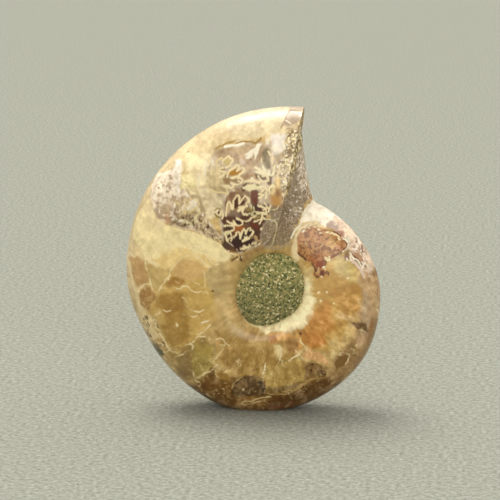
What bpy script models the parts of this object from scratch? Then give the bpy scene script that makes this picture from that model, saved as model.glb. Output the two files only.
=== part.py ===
"""A polished fossil ammonite that stands on the small flat ground at the foot of its outer whorl.

Metres, +Z up. The coil lies in the XZ plane with its front side towards -Y, and the origin is the
middle of the resting flat. The shell is one solid: its last whorl grows clockwise, seen from the
front, from the notch at the upper right round to the broken end at the top. A plug of sandstone
fills the umbilicus on each side.
"""

import math

import bmesh
import bpy
import numpy as np

MM = 0.001

# Coil: a logarithmic spiral, turned by the angle grown since the notch
COIL_X = 3.84 * MM
COIL_HEIGHT = 25.14 * MM
NOTCH_DIRECTION = math.radians(65.3)
NOTCH_RADIUS = 18.24 * MM
GROWTH_PER_TURN = 2.07
LAST_TURN = 343.5

# Departures of the outer edge from the spiral: degrees grown since the notch, and how far out
OUTER_EDGE = (
    (0, 0.5 * MM),
    (12, 0.06 * MM),
    (38, -0.34 * MM),
    (62, -0.2 * MM),
    (80, -0.3 * MM),
    (104, 0.1 * MM),
    (128, 0.26 * MM),
    (146, 0.6 * MM),
    (162, 1.16 * MM),
    (178, 1.16 * MM),
    (194, 0.52 * MM),
    (210, 0.06 * MM),
    (226, -0.16 * MM),
    (240, 0.26 * MM),
    (262, 0.24 * MM),
    (296, 0.38 * MM),
    (322, 0.36 * MM),
    (343, 0.0 * MM),
)

# Umbilicus: degrees since the notch, radius of its rim of matrix, and width of the slope above it
UMBILICUS = (
    (0, 7.5 * MM, 2.2 * MM),
    (20, 6.8 * MM, 2.4 * MM),
    (57, 5.8 * MM, 2.6 * MM),
    (114, 5.7 * MM, 2.7 * MM),
    (139, 6.0 * MM, 2.9 * MM),
    (165, 7.1 * MM, 3.0 * MM),
    (193, 8.2 * MM, 3.8 * MM),
    (225, 7.9 * MM, 4.8 * MM),
    (262, 7.4 * MM, 4.4 * MM),
    (290, 7.4 * MM, 3.0 * MM),
    (318, 7.9 * MM, 2.2 * MM),
    (344, 7.8 * MM, 1.8 * MM),
)

# Cross-section of the whorl
HALF_THICKNESS_AT_END = 10.4 * MM
THICKNESS_GROWTH_PER_TURN = 2.0
FLANK_POWER = 2.3
PIT_FLOOR = 2.6 * MM
MATRIX_LEVEL = 4.5 * MM
PIT_TAPER = 0.5 * MM

# Broken end: share of the outer radius, and how many degrees the edge of the flank stands back
FLANK_EDGE = (
    (0.20, 25.0),
    (0.25, 20.5),
    (0.32, 10.0),
    (0.38, 4.8),
    (0.52, 2.1),
    (0.66, 0.7),
    (0.85, 0.2),
    (1.00, 0.0),
)
JOINT_LINE = ((0.25, 6.0), (0.70, 3.8), (1.00, 0.0))
END_HOLLOW = 2.5 * MM

# Fineness of the mesh
TURN_COLUMNS = 70
END_STEPS = (0.14, 0.36, 0.58, 0.76, 0.90)
WALL_ROWS = 2
SLOPE_ROWS = 4
FLANK_ROWS = 10

# Sandstone plugs, which keep a fine gap to the shell
GAP = 0.3 * MM
PLUG_SIDES = 48
PLUG_DOME = 0.24 * MM


def between(table, column, at):
    """Value of one column of a table of stations, on a smooth curve through them."""
    places = np.array([row[0] for row in table], float)
    values = np.array([row[column] for row in table], float)
    slopes = np.gradient(values, places)
    at = min(max(at, places[0]), places[-1])
    low = min(int(np.searchsorted(places, at, side="right")) - 1, len(places) - 2)
    width = places[low + 1] - places[low]
    t = (at - places[low]) / width
    start = values[low] * (1 + 2 * t) * (1 - t) ** 2 + slopes[low] * width * t * (1 - t) ** 2
    end = values[low + 1] * t * t * (3 - 2 * t) + slopes[low + 1] * width * t * t * (t - 1)
    return start + end


def outer_radius(grown):
    """Distance of the outer edge from the coil's axis."""
    return NOTCH_RADIUS * GROWTH_PER_TURN ** (grown / 360) + between(OUTER_EDGE, 1, grown)


def half_thickness(grown):
    """Half the thickness of the whorl, front to back."""
    return HALF_THICKNESS_AT_END * THICKNESS_GROWTH_PER_TURN ** ((grown - LAST_TURN) / 360)


def umbilicus_radius(grown):
    """Radius of the edge of the matrix, which closes on itself over the gap after the last station."""
    if grown > UMBILICUS[-1][0]:
        share = (grown - UMBILICUS[-1][0]) / (360 - UMBILICUS[-1][0])
        return UMBILICUS[-1][1] + (UMBILICUS[0][1] - UMBILICUS[-1][1]) * share
    return between(UMBILICUS, 1, grown)


def matrix_level(grown):
    """How far the surface of the matrix stands from the middle plane."""
    return MATRIX_LEVEL + 0.7 * MM * max(0.0, math.sin(math.radians(grown - 150)))


def half_section(grown, row):
    """Radius and half-thickness at a row of the section, from the pit's floor out to the venter."""
    rim = umbilicus_radius(grown)
    slope = between(UMBILICUS, 2, grown)
    level = min(matrix_level(grown), half_thickness(grown) - 0.4 * MM)
    if row <= WALL_ROWS:
        share = row / WALL_ROWS
        return rim - PIT_TAPER * (1 - share), PIT_FLOOR + (level - PIT_FLOOR) * share
    full = half_thickness(grown)
    if row <= WALL_ROWS + SLOPE_ROWS:
        turn = (row - WALL_ROWS) / SLOPE_ROWS * math.pi / 2
        return rim + slope * (1 - math.cos(turn)), level + (full - level) * math.sin(turn)
    turn = (row - WALL_ROWS - SLOPE_ROWS) / FLANK_ROWS * math.pi / 2
    across = math.sin(turn) ** (2 / FLANK_POWER)
    inner = rim + slope
    return inner + (outer_radius(grown) - inner) * across, full * math.cos(turn)


def spiral_point(grown, radius, sideways):
    """Point at that growth angle, radius and distance behind the middle plane."""
    direction = NOTCH_DIRECTION - math.radians(grown)
    x = COIL_X + radius * math.cos(direction)
    z = COIL_HEIGHT + radius * math.sin(direction)
    return np.array((x, sideways, z))


def ring_place(grown, row, stand_back):
    """Growth angle, radius and sideways distance at a row, stood back along the whorl as a table says."""
    half_rows = WALL_ROWS + SLOPE_ROWS + FLANK_ROWS
    side = -1 if row <= half_rows else 1
    row = half_rows - abs(row - half_rows)
    radius = half_section(grown, row)[0]
    grown = grown - between(stand_back, 1, radius / outer_radius(grown))
    radius, sideways = half_section(max(grown, 0), row)
    return np.array((grown, radius, side * sideways))


def turn_place(column, row):
    """Place on the last turn, whose first and last columns follow the joint line and the flank's edge."""
    share = column / TURN_COLUMNS
    table, nearness = (FLANK_EDGE, share) if share > 0.5 else (JOINT_LINE, 1 - share)
    eased = [(at, back * nearness ** 6) for at, back in table]
    return ring_place(LAST_TURN * share, row, eased)


def shell_point(column, row):
    """Point of the shell: the last turn's columns, then those of the broken end back to the notch."""
    if column <= TURN_COLUMNS:
        return spiral_point(*turn_place(column, row))
    share = END_STEPS[column - TURN_COLUMNS - 1]
    flank = turn_place(TURN_COLUMNS, row)
    joint = turn_place(0, row) + np.array((360, 0, 0))
    depth = min(max(flank[1] / outer_radius(LAST_TURN) * 3 - 0.9, 0), 1)
    hollow = END_HOLLOW * depth * (4 * share * (1 - share)) ** 0.7
    return spiral_point(*(flank + (joint - flank) * share)) - np.array((hollow, 0, 0))


def material(name, colour, roughness):
    """Plain stone of one colour."""
    made = bpy.data.materials.new(name)
    made.use_nodes = True
    shader = made.node_tree.nodes["Principled BSDF"]
    shader.inputs["Base Color"].default_value = (*colour, 1)
    shader.inputs["Roughness"].default_value = roughness
    return made


def add_object(name, form, collection, finish):
    """Object made from a finished bmesh."""
    mesh = bpy.data.meshes.new(name)
    form.to_mesh(mesh)
    form.free()
    made = bpy.data.objects.new(name, mesh)
    collection.objects.link(made)
    if finish:
        mesh.materials.append(finish)
    return made


def shell(collection, cutters):
    """The whole shell: a grid rolled into a ring, its pit floors filled, and its foot ground flat."""
    columns = TURN_COLUMNS + 1 + len(END_STEPS)
    rows = 2 * (WALL_ROWS + SLOPE_ROWS + FLANK_ROWS) + 1
    form = bmesh.new()
    bmesh.ops.create_grid(form, x_segments=columns, y_segments=rows - 1, size=1)
    for vertex in form.verts:
        column = round((vertex.co.x + 1) / 2 * columns) % columns
        row = round((vertex.co.y + 1) / 2 * (rows - 1))
        vertex.co = shell_point(column, row)
    bmesh.ops.remove_doubles(form, verts=form.verts, dist=1e-7)
    bmesh.ops.holes_fill(form, edges=form.edges)
    bmesh.ops.recalc_face_normals(form, faces=form.faces)
    made = add_object("ammonite_shell", form, collection, material("polished_shell", (0.62, 0.42, 0.2), 0.25))
    made.data.shade_smooth()
    made.data.set_sharp_from_angle(angle=math.radians(40))

    below = bmesh.new()
    bmesh.ops.create_cube(below, size=40 * MM)
    bmesh.ops.translate(below, verts=below.verts, vec=(0, 0, -20 * MM))
    ground = add_object("ground_plane", below, cutters, None)
    ground.hide_render = True
    ground.display_type = "WIRE"
    cut = made.modifiers.new("ground_flat", "BOOLEAN")
    cut.operation = "DIFFERENCE"
    cut.solver = "EXACT"
    cut.object = ground
    return made


def matrix_plug(name, side, collection):
    """Sandstone left in the umbilicus of one side: side is -1 for the front and 1 for the back."""
    form = bmesh.new()
    bmesh.ops.create_cone(form, cap_ends=True, segments=PLUG_SIDES, radius1=1, radius2=1, depth=2)
    front = [face for face in form.faces if face.calc_center_median().z > 0.9]
    bmesh.ops.inset_region(form, faces=front, thickness=0.35)
    for vertex in form.verts:
        grown = math.degrees(NOTCH_DIRECTION - math.atan2(vertex.co.y, vertex.co.x)) % 360
        share = math.hypot(vertex.co.x, vertex.co.y)
        radius = (umbilicus_radius(grown) - GAP) * share
        if vertex.co.z < 0:
            sideways = PIT_FLOOR + GAP
            radius -= PIT_TAPER
        else:
            sideways = matrix_level(grown) + PLUG_DOME * (1 - share)
        vertex.co = spiral_point(grown, radius, side * sideways)
    bmesh.ops.recalc_face_normals(form, faces=form.faces)
    return add_object(name, form, collection, material(name + "_stone", (0.17, 0.18, 0.09), 0.9))


def main():
    for item in list(bpy.data.objects):
        bpy.data.objects.remove(item, do_unlink=True)
    collection = bpy.data.collections.new("fossil_ammonite")
    cutters = bpy.data.collections.new("cutters")
    for group in (collection, cutters):
        bpy.context.scene.collection.children.link(group)
    shell(collection, cutters)
    matrix_plug("umbilicus_matrix_front", -1, collection)
    matrix_plug("umbilicus_matrix_back", 1, collection)


main()
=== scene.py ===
"""Finished look of the polished fossil ammonite: its mottled shell, suture lines, veins and sandstone.

The shell's own formula is repeated here from the same named values at a finer step, so each piece
lies in the solid that it stands for. Patterns are drawn on the side of the coil as seen from the
front: right and up in millimetres from the middle of the view. They are worked out once, for each
vertex, and stored with the mesh.
"""

import math

import bmesh
import bpy
import numpy as np
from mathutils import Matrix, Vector


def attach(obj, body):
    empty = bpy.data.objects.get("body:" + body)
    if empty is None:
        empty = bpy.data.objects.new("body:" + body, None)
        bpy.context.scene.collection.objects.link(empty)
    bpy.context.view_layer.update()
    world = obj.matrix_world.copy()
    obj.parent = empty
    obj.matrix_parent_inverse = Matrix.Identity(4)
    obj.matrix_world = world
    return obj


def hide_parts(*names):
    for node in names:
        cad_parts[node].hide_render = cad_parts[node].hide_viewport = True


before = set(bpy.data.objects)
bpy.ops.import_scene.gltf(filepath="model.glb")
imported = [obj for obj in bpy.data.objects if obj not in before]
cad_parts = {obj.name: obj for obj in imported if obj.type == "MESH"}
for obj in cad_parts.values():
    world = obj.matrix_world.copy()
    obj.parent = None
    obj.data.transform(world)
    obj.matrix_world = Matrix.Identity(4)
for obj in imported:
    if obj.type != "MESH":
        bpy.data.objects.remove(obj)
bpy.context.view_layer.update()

MM = 0.001

# Coil, as in the solid: a logarithmic spiral, turned by the angle grown since the notch
COIL_X = 3.84 * MM
COIL_HEIGHT = 25.14 * MM
NOTCH_DIRECTION = math.radians(65.3)
NOTCH_RADIUS = 18.24 * MM
GROWTH_PER_TURN = 2.07
LAST_TURN = 343.5
# Departures of the outer edge from the spiral: degrees grown since the notch, and how far out
OUTER_EDGE = (
    (0, 0.5 * MM),
    (12, 0.06 * MM),
    (38, -0.34 * MM),
    (62, -0.2 * MM),
    (80, -0.3 * MM),
    (104, 0.1 * MM),
    (128, 0.26 * MM),
    (146, 0.6 * MM),
    (162, 1.16 * MM),
    (178, 1.16 * MM),
    (194, 0.52 * MM),
    (210, 0.06 * MM),
    (226, -0.16 * MM),
    (240, 0.26 * MM),
    (262, 0.24 * MM),
    (296, 0.38 * MM),
    (322, 0.36 * MM),
    (343, 0.0 * MM),
)
# Umbilicus: degrees since the notch, radius of its rim of matrix, and width of the slope above it
UMBILICUS = (
    (0, 7.5 * MM, 2.2 * MM),
    (20, 6.8 * MM, 2.4 * MM),
    (57, 5.8 * MM, 2.6 * MM),
    (114, 5.7 * MM, 2.7 * MM),
    (139, 6.0 * MM, 2.9 * MM),
    (165, 7.1 * MM, 3.0 * MM),
    (193, 8.2 * MM, 3.8 * MM),
    (225, 7.9 * MM, 4.8 * MM),
    (262, 7.4 * MM, 4.4 * MM),
    (290, 7.4 * MM, 3.0 * MM),
    (318, 7.9 * MM, 2.2 * MM),
    (344, 7.8 * MM, 1.8 * MM),
)
HALF_THICKNESS_AT_END = 10.4 * MM
THICKNESS_GROWTH_PER_TURN = 2.0
FLANK_POWER = 2.3
PIT_FLOOR = 2.6 * MM
MATRIX_LEVEL = 4.5 * MM
PIT_TAPER = 0.5 * MM
MATRIX_SWELL = 0.7 * MM
MATRIX_SWELL_START = 150
LEAST_SLOPE_RISE = 0.4 * MM
# Broken end: share of the outer radius, and how many degrees the edge of the flank stands back
FLANK_EDGE = (
    (0.20, 25.0),
    (0.25, 20.5),
    (0.32, 10.0),
    (0.38, 4.8),
    (0.52, 2.1),
    (0.66, 0.7),
    (0.85, 0.2),
    (1.00, 0.0),
)
JOINT_LINE = ((0.25, 6.0), (0.70, 3.8), (1.00, 0.0))
END_HOLLOW = 2.5 * MM
WALL_ROWS = 2
SLOPE_ROWS = 4
FLANK_ROWS = 10

# Fineness of the surface. The finely patterned front is in parts, each from one place of the last
# turn to another, 0 to 1, or on over the broken end to 2, with its columns and rows
FRONT_PARTS = (
    ("shell_front_notch", 0.0, 0.30, 270, 190),
    ("shell_front_foot", 0.30, 0.62, 300, 190),
    ("shell_front_flank", 0.62, 0.85, 300, 200),
    ("shell_front_end", 0.85, 2.0, 250, 210),
)
BACK_COLUMNS = 380
BACK_ROWS = 120
END_STEPS = 90
WALL_STEPS = 3
PLUG_STEPS = 130
PLUG_DOME = 0.24 * MM
CURVE_STEPS = 4
SHARP_EDGE = math.radians(50)

# Front's pattern on the back: how far it is turned round the coil, and where on the way from the
# middle plane to the full thickness the turn sets in and is complete
BACK_TURN = math.radians(150)
BACK_TURN_SHARES = (0.15, 0.9)

# Broken end: columns over which it sets in and ends, and its chips as depth in mm, size, seed and
# octaves, with what is added to them and the hollow from which on they are full
BROKEN_FADE = ((1.0, 1.012), (2.0, 1.985))
CHIPS = ((0.16, 1.1, 21, 3), (0.10, 0.4, 22, 2))
CHIP_BASE = 0.12
CHIP_HOLLOW = 0.4 * MM

# Shell's surface: darkest and lightest cloud, least and greatest roughness of the polish, and how
# much rougher the broken end is. Grain, coat and relief have a value where polished and where
# broken, and the bump is its strength and depth
SHELL_CLOUD_SIZE = 1.3 * MM
SHELL_CLOUD = ((0.82, 0.80, 0.76), (1.16, 1.17, 1.18))
SHELL_POLISH = (0.26, 0.40)
BROKEN_ROUGHNESS = 0.35
SHELL_GRAIN_SIZE = 0.4 * MM
SHELL_GRAIN = (0.10, 0.34)
SHELL_COAT = (0.28, 0.0)
SHELL_RELIEF = (0.2, 1.0)
SHELL_BUMP = (0.5, 0.08 * MM)

# Sandstone: relief as height in mm, size, seed and octaves, how far it covers the shell's rim, size
# and colours of its grains, darkest and lightest cloud, and how much paler it gets from bottom to top
SAND_RELIEF = ((0.16, 0.5, 31, 2), (0.14, 2.2, 32, 2))
SAND_OVERLAP = 0.05 * MM
SAND_GRAIN = 0.32 * MM
SAND_COLOURS = (
    (0.0, (62, 64, 38)),
    (0.12, (98, 102, 60)),
    (0.36, (130, 130, 78)),
    (0.62, (150, 142, 90)),
    (0.86, (166, 150, 98)),
    (0.98, (226, 212, 168)),
)
SAND_CLOUD_SIZE = 2.2 * MM
SAND_CLOUD = ((0.78, 0.75, 0.70), (1.2, 1.22, 1.16))
SAND_HALF_HEIGHT = 6 * MM
SAND_PALER = (0.72, 1.22)
SAND_BUMP = (0.8, 0.15 * MM)

# Surroundings: the floor, the two lights as turn, rise, strength, softness and colour, and the sky,
# whose strength rises between two heights and grows towards the back
FLOOR_SIZE = 12
FLOOR_GRAIN = 0.9 * MM
FLOOR_COLOURS = ((104, 105, 93), (170, 170, 156))
KEY_LIGHT = (-132, 71, 2.35, 32, (1.0, 0.985, 0.96))
FILL_LIGHT = (10, 16, 1.8, 50, (1.0, 0.985, 0.95))
SKY = {"From Min": 0.05, "From Max": 0.9, "To Min": 0.03, "To Max": 1.5}
SKY_EVEN = 0.85
SKY_BEHIND = 0.5

# Camera: from the front, a little to the right and above
CAMERA_TURN = math.radians(6)
CAMERA_RISE = math.radians(11)
LENS = 150
SENSOR = 36
VIEW_WIDTH = 100 * MM
VIEW_MIDDLE = Vector((COIL_X - 5.48 * MM, 0, COIL_HEIGHT + 7.24 * MM))


def stations(table, column, at):
    """Values of one column of a table of stations, on a smooth curve through them."""
    places = np.array([row[0] for row in table], float)
    values = np.array([row[column] for row in table], float)
    slopes = np.gradient(values, places)
    at = np.clip(at, places[0], places[-1])
    low = np.clip(np.searchsorted(places, at, side="right") - 1, 0, len(places) - 2)
    width = places[low + 1] - places[low]
    t = (at - places[low]) / width
    start = values[low] * (1 + 2 * t) * (1 - t) ** 2 + slopes[low] * width * t * (1 - t) ** 2
    end = values[low + 1] * t * t * (3 - 2 * t) + slopes[low + 1] * width * t * t * (t - 1)
    return start + end


def outer_radius(grown):
    """Distance of the outer edge from the coil's axis."""
    return NOTCH_RADIUS * GROWTH_PER_TURN ** (grown / 360) + stations(OUTER_EDGE, 1, grown)


def half_thickness(grown):
    """Half the thickness of the whorl, front to back."""
    return HALF_THICKNESS_AT_END * THICKNESS_GROWTH_PER_TURN ** ((grown - LAST_TURN) / 360)


def umbilicus_radius(grown):
    """Radius of the edge of the matrix, which closes on itself over the gap after the last station."""
    last = UMBILICUS[-1]
    share = np.clip((grown - last[0]) / (360 - last[0]), 0, 1)
    return stations(UMBILICUS, 1, grown) * (1 - share) + UMBILICUS[0][1] * share


def matrix_level(grown):
    """How far the surface of the matrix stands from the middle plane."""
    return MATRIX_LEVEL + MATRIX_SWELL * np.maximum(0, np.sin(np.radians(grown - MATRIX_SWELL_START)))


def half_section(grown, row):
    """Radius and half-thickness at a row of the section, from the pit's floor out to the venter."""
    rim = umbilicus_radius(grown)
    slope = stations(UMBILICUS, 2, grown)
    full = half_thickness(grown)
    level = np.minimum(matrix_level(grown), full - LEAST_SLOPE_RISE)
    wall = np.clip(row / WALL_ROWS, 0, 1)
    rise = np.clip((row - WALL_ROWS) / SLOPE_ROWS, 0, 1) * math.pi / 2
    across = np.clip((row - WALL_ROWS - SLOPE_ROWS) / FLANK_ROWS, 0, 1) * math.pi / 2
    inner = rim + slope * (1 - np.cos(rise)) - PIT_TAPER * (1 - wall)
    radius = inner + (outer_radius(grown) - rim - slope) * np.sin(across) ** (2 / FLANK_POWER)
    sideways = PIT_FLOOR + (level - PIT_FLOOR) * wall + (full - level) * np.sin(rise)
    return radius, sideways * np.cos(across)


def turn_place(grown, row):
    """Growth angle, radius and half-thickness on the last turn, whose ends follow the edge tables."""
    share = grown / LAST_TURN
    radius = half_section(grown, row)[0]
    ratio = radius / outer_radius(grown)
    late = stations(FLANK_EDGE, 1, ratio) * share ** 6
    early = stations(JOINT_LINE, 1, ratio) * (1 - share) ** 6
    grown = grown - np.where(share > 0.5, late, early)
    radius, sideways = half_section(np.maximum(grown, 0), row)
    return np.stack((grown, radius, sideways), -1)


def shell_place(column, row):
    """Place for columns 0 to 1 along the last turn and 1 to 2 across the broken end, and its hollow."""
    along = np.clip(column, 0, 1)
    place = turn_place(along * LAST_TURN, row)
    joint = turn_place(np.zeros_like(column), row) + np.array((360, 0, 0))
    share = np.clip(column - 1, 0, 1)
    depth = np.clip(place[:, 1] / outer_radius(LAST_TURN) * 3 - 0.9, 0, 1)
    hollow = END_HOLLOW * depth * (4 * share * (1 - share)) ** 0.7
    place = place + (joint - place) * share[:, None]
    return place, hollow


def spiral_points(place, side):
    """Points in the row frame for growth angle, radius and half-thickness, on the side -1 or 1."""
    direction = NOTCH_DIRECTION - np.radians(place[:, 0])
    x = COIL_X + place[:, 1] * np.cos(direction)
    z = COIL_HEIGHT + place[:, 1] * np.sin(direction)
    return np.stack((x, side * place[:, 2], z), -1)


def direction_from(turn, rise):
    """Unit direction from the fossil, turned right from the front and up from the ground."""
    return Vector((math.sin(turn) * math.cos(rise), -math.cos(turn) * math.cos(rise), math.sin(rise)))


CAMERA_DISTANCE = VIEW_WIDTH * LENS / SENSOR
CAMERA_BACK = direction_from(CAMERA_TURN, CAMERA_RISE)
CAMERA_PLACE = VIEW_MIDDLE + CAMERA_BACK * CAMERA_DISTANCE
CAMERA_RIGHT = Vector((math.cos(CAMERA_TURN), math.sin(CAMERA_TURN), 0))
CAMERA_UP = CAMERA_BACK.cross(CAMERA_RIGHT)


def seen(points):
    """Right and up from the middle of the view, in millimetres, at which the camera sees each point."""
    offset = points - np.array(CAMERA_PLACE)
    depth = -(offset @ np.array(CAMERA_BACK))
    across = np.stack((offset @ np.array(CAMERA_RIGHT), offset @ np.array(CAMERA_UP)), -1)
    return across / depth[:, None] * CAMERA_DISTANCE / MM


def hashed(cells, seed):
    """A repeatable random value from 0 to 1 for each whole-numbered cell."""
    factors = np.array((73856093, 19349663, 83492791)[:cells.shape[1]])
    mixed = cells.astype(np.int64) @ factors + seed * 1013
    mixed = (mixed ^ (mixed >> 13)) * 1274126177 & 0x7FFFFFFF
    mixed = (mixed ^ (mixed >> 15)) * 668265263 & 0x7FFFFFFF
    return (mixed & 0xFFFFF) / 0xFFFFF


def noise(points, size, seed=0, octaves=3):
    """Smooth noise from about -1 to 1 whose largest lumps are of that size."""
    total = np.zeros(len(points))
    for octave in range(octaves):
        at = points / size * 2 ** octave
        low = np.floor(at)
        t = at - low
        t = t * t * (3 - 2 * t)
        value = np.zeros(len(points))
        for corner in np.ndindex(*(2,) * points.shape[1]):
            weight = np.prod(np.where(np.array(corner) == 1, t, 1 - t), axis=1)
            value += weight * hashed(low + np.array(corner), seed + octave)
        total += (value * 2 - 1) / 2 ** octave
    return total


def away(points, a, b):
    """Distance of each point from the line between a and b."""
    a, b = np.array(a, float), np.array(b, float)
    length = max((b - a) @ (b - a), 1e-9)
    along = np.clip((points - a) @ (b - a) / length, 0, 1)
    return np.linalg.norm(points - a - along[:, None] * (b - a), axis=1)


def layered(at, layers):
    """Sum of noises over a table of their height, size, seed and octaves."""
    return sum(height * noise(at, *layer) for height, *layer in layers)


def inside(points, outline):
    """How far each point is inside a closed outline, negative outside."""
    corners = np.array(outline, float)
    nearest = np.full(len(points), 1e9)
    crossings = np.zeros(len(points), bool)
    for a, b in zip(corners, np.roll(corners, -1, axis=0)):
        nearest = np.minimum(nearest, away(points, a, b))
        between_heights = (a[1] > points[:, 1]) != (b[1] > points[:, 1])
        rise = b[1] - a[1] if b[1] != a[1] else 1e-9
        edge = (b[0] - a[0]) * (points[:, 1] - a[1]) / rise + a[0]
        crossings ^= between_heights & (points[:, 0] < edge)
    return np.where(crossings, nearest, -nearest)


def eased(value, start, end):
    """Smooth step from 0 at start to 1 at end."""
    t = np.clip((value - start) / (end - start), 0, 1)
    return t * t * (3 - 2 * t)


def linear(colour):
    """Scene-linear colour from a display colour of 0 to 255."""
    shares = np.array(colour, float) / 255
    return np.where(shares <= 0.04045, shares / 12.92, ((shares + 0.055) / 1.055) ** 2.4)


def curve(points):
    """Smooth curve through given points."""
    points = np.array(points, float)
    if len(points) < 3:
        return points
    padded = np.vstack((2 * points[0] - points[1], points, 2 * points[-1] - points[-2]))
    made = []
    for a, b, c, d in zip(padded, padded[1:], padded[2:], padded[3:]):
        for t in np.arange(CURVE_STEPS) / CURVE_STEPS:
            bend = 2 * a - 5 * b + 4 * c - d + t * (3 * (b - c) + d - a)
            made.append(b + 0.5 * t * (c - a + t * bend))
    return np.vstack((made, points[-1]))


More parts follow.
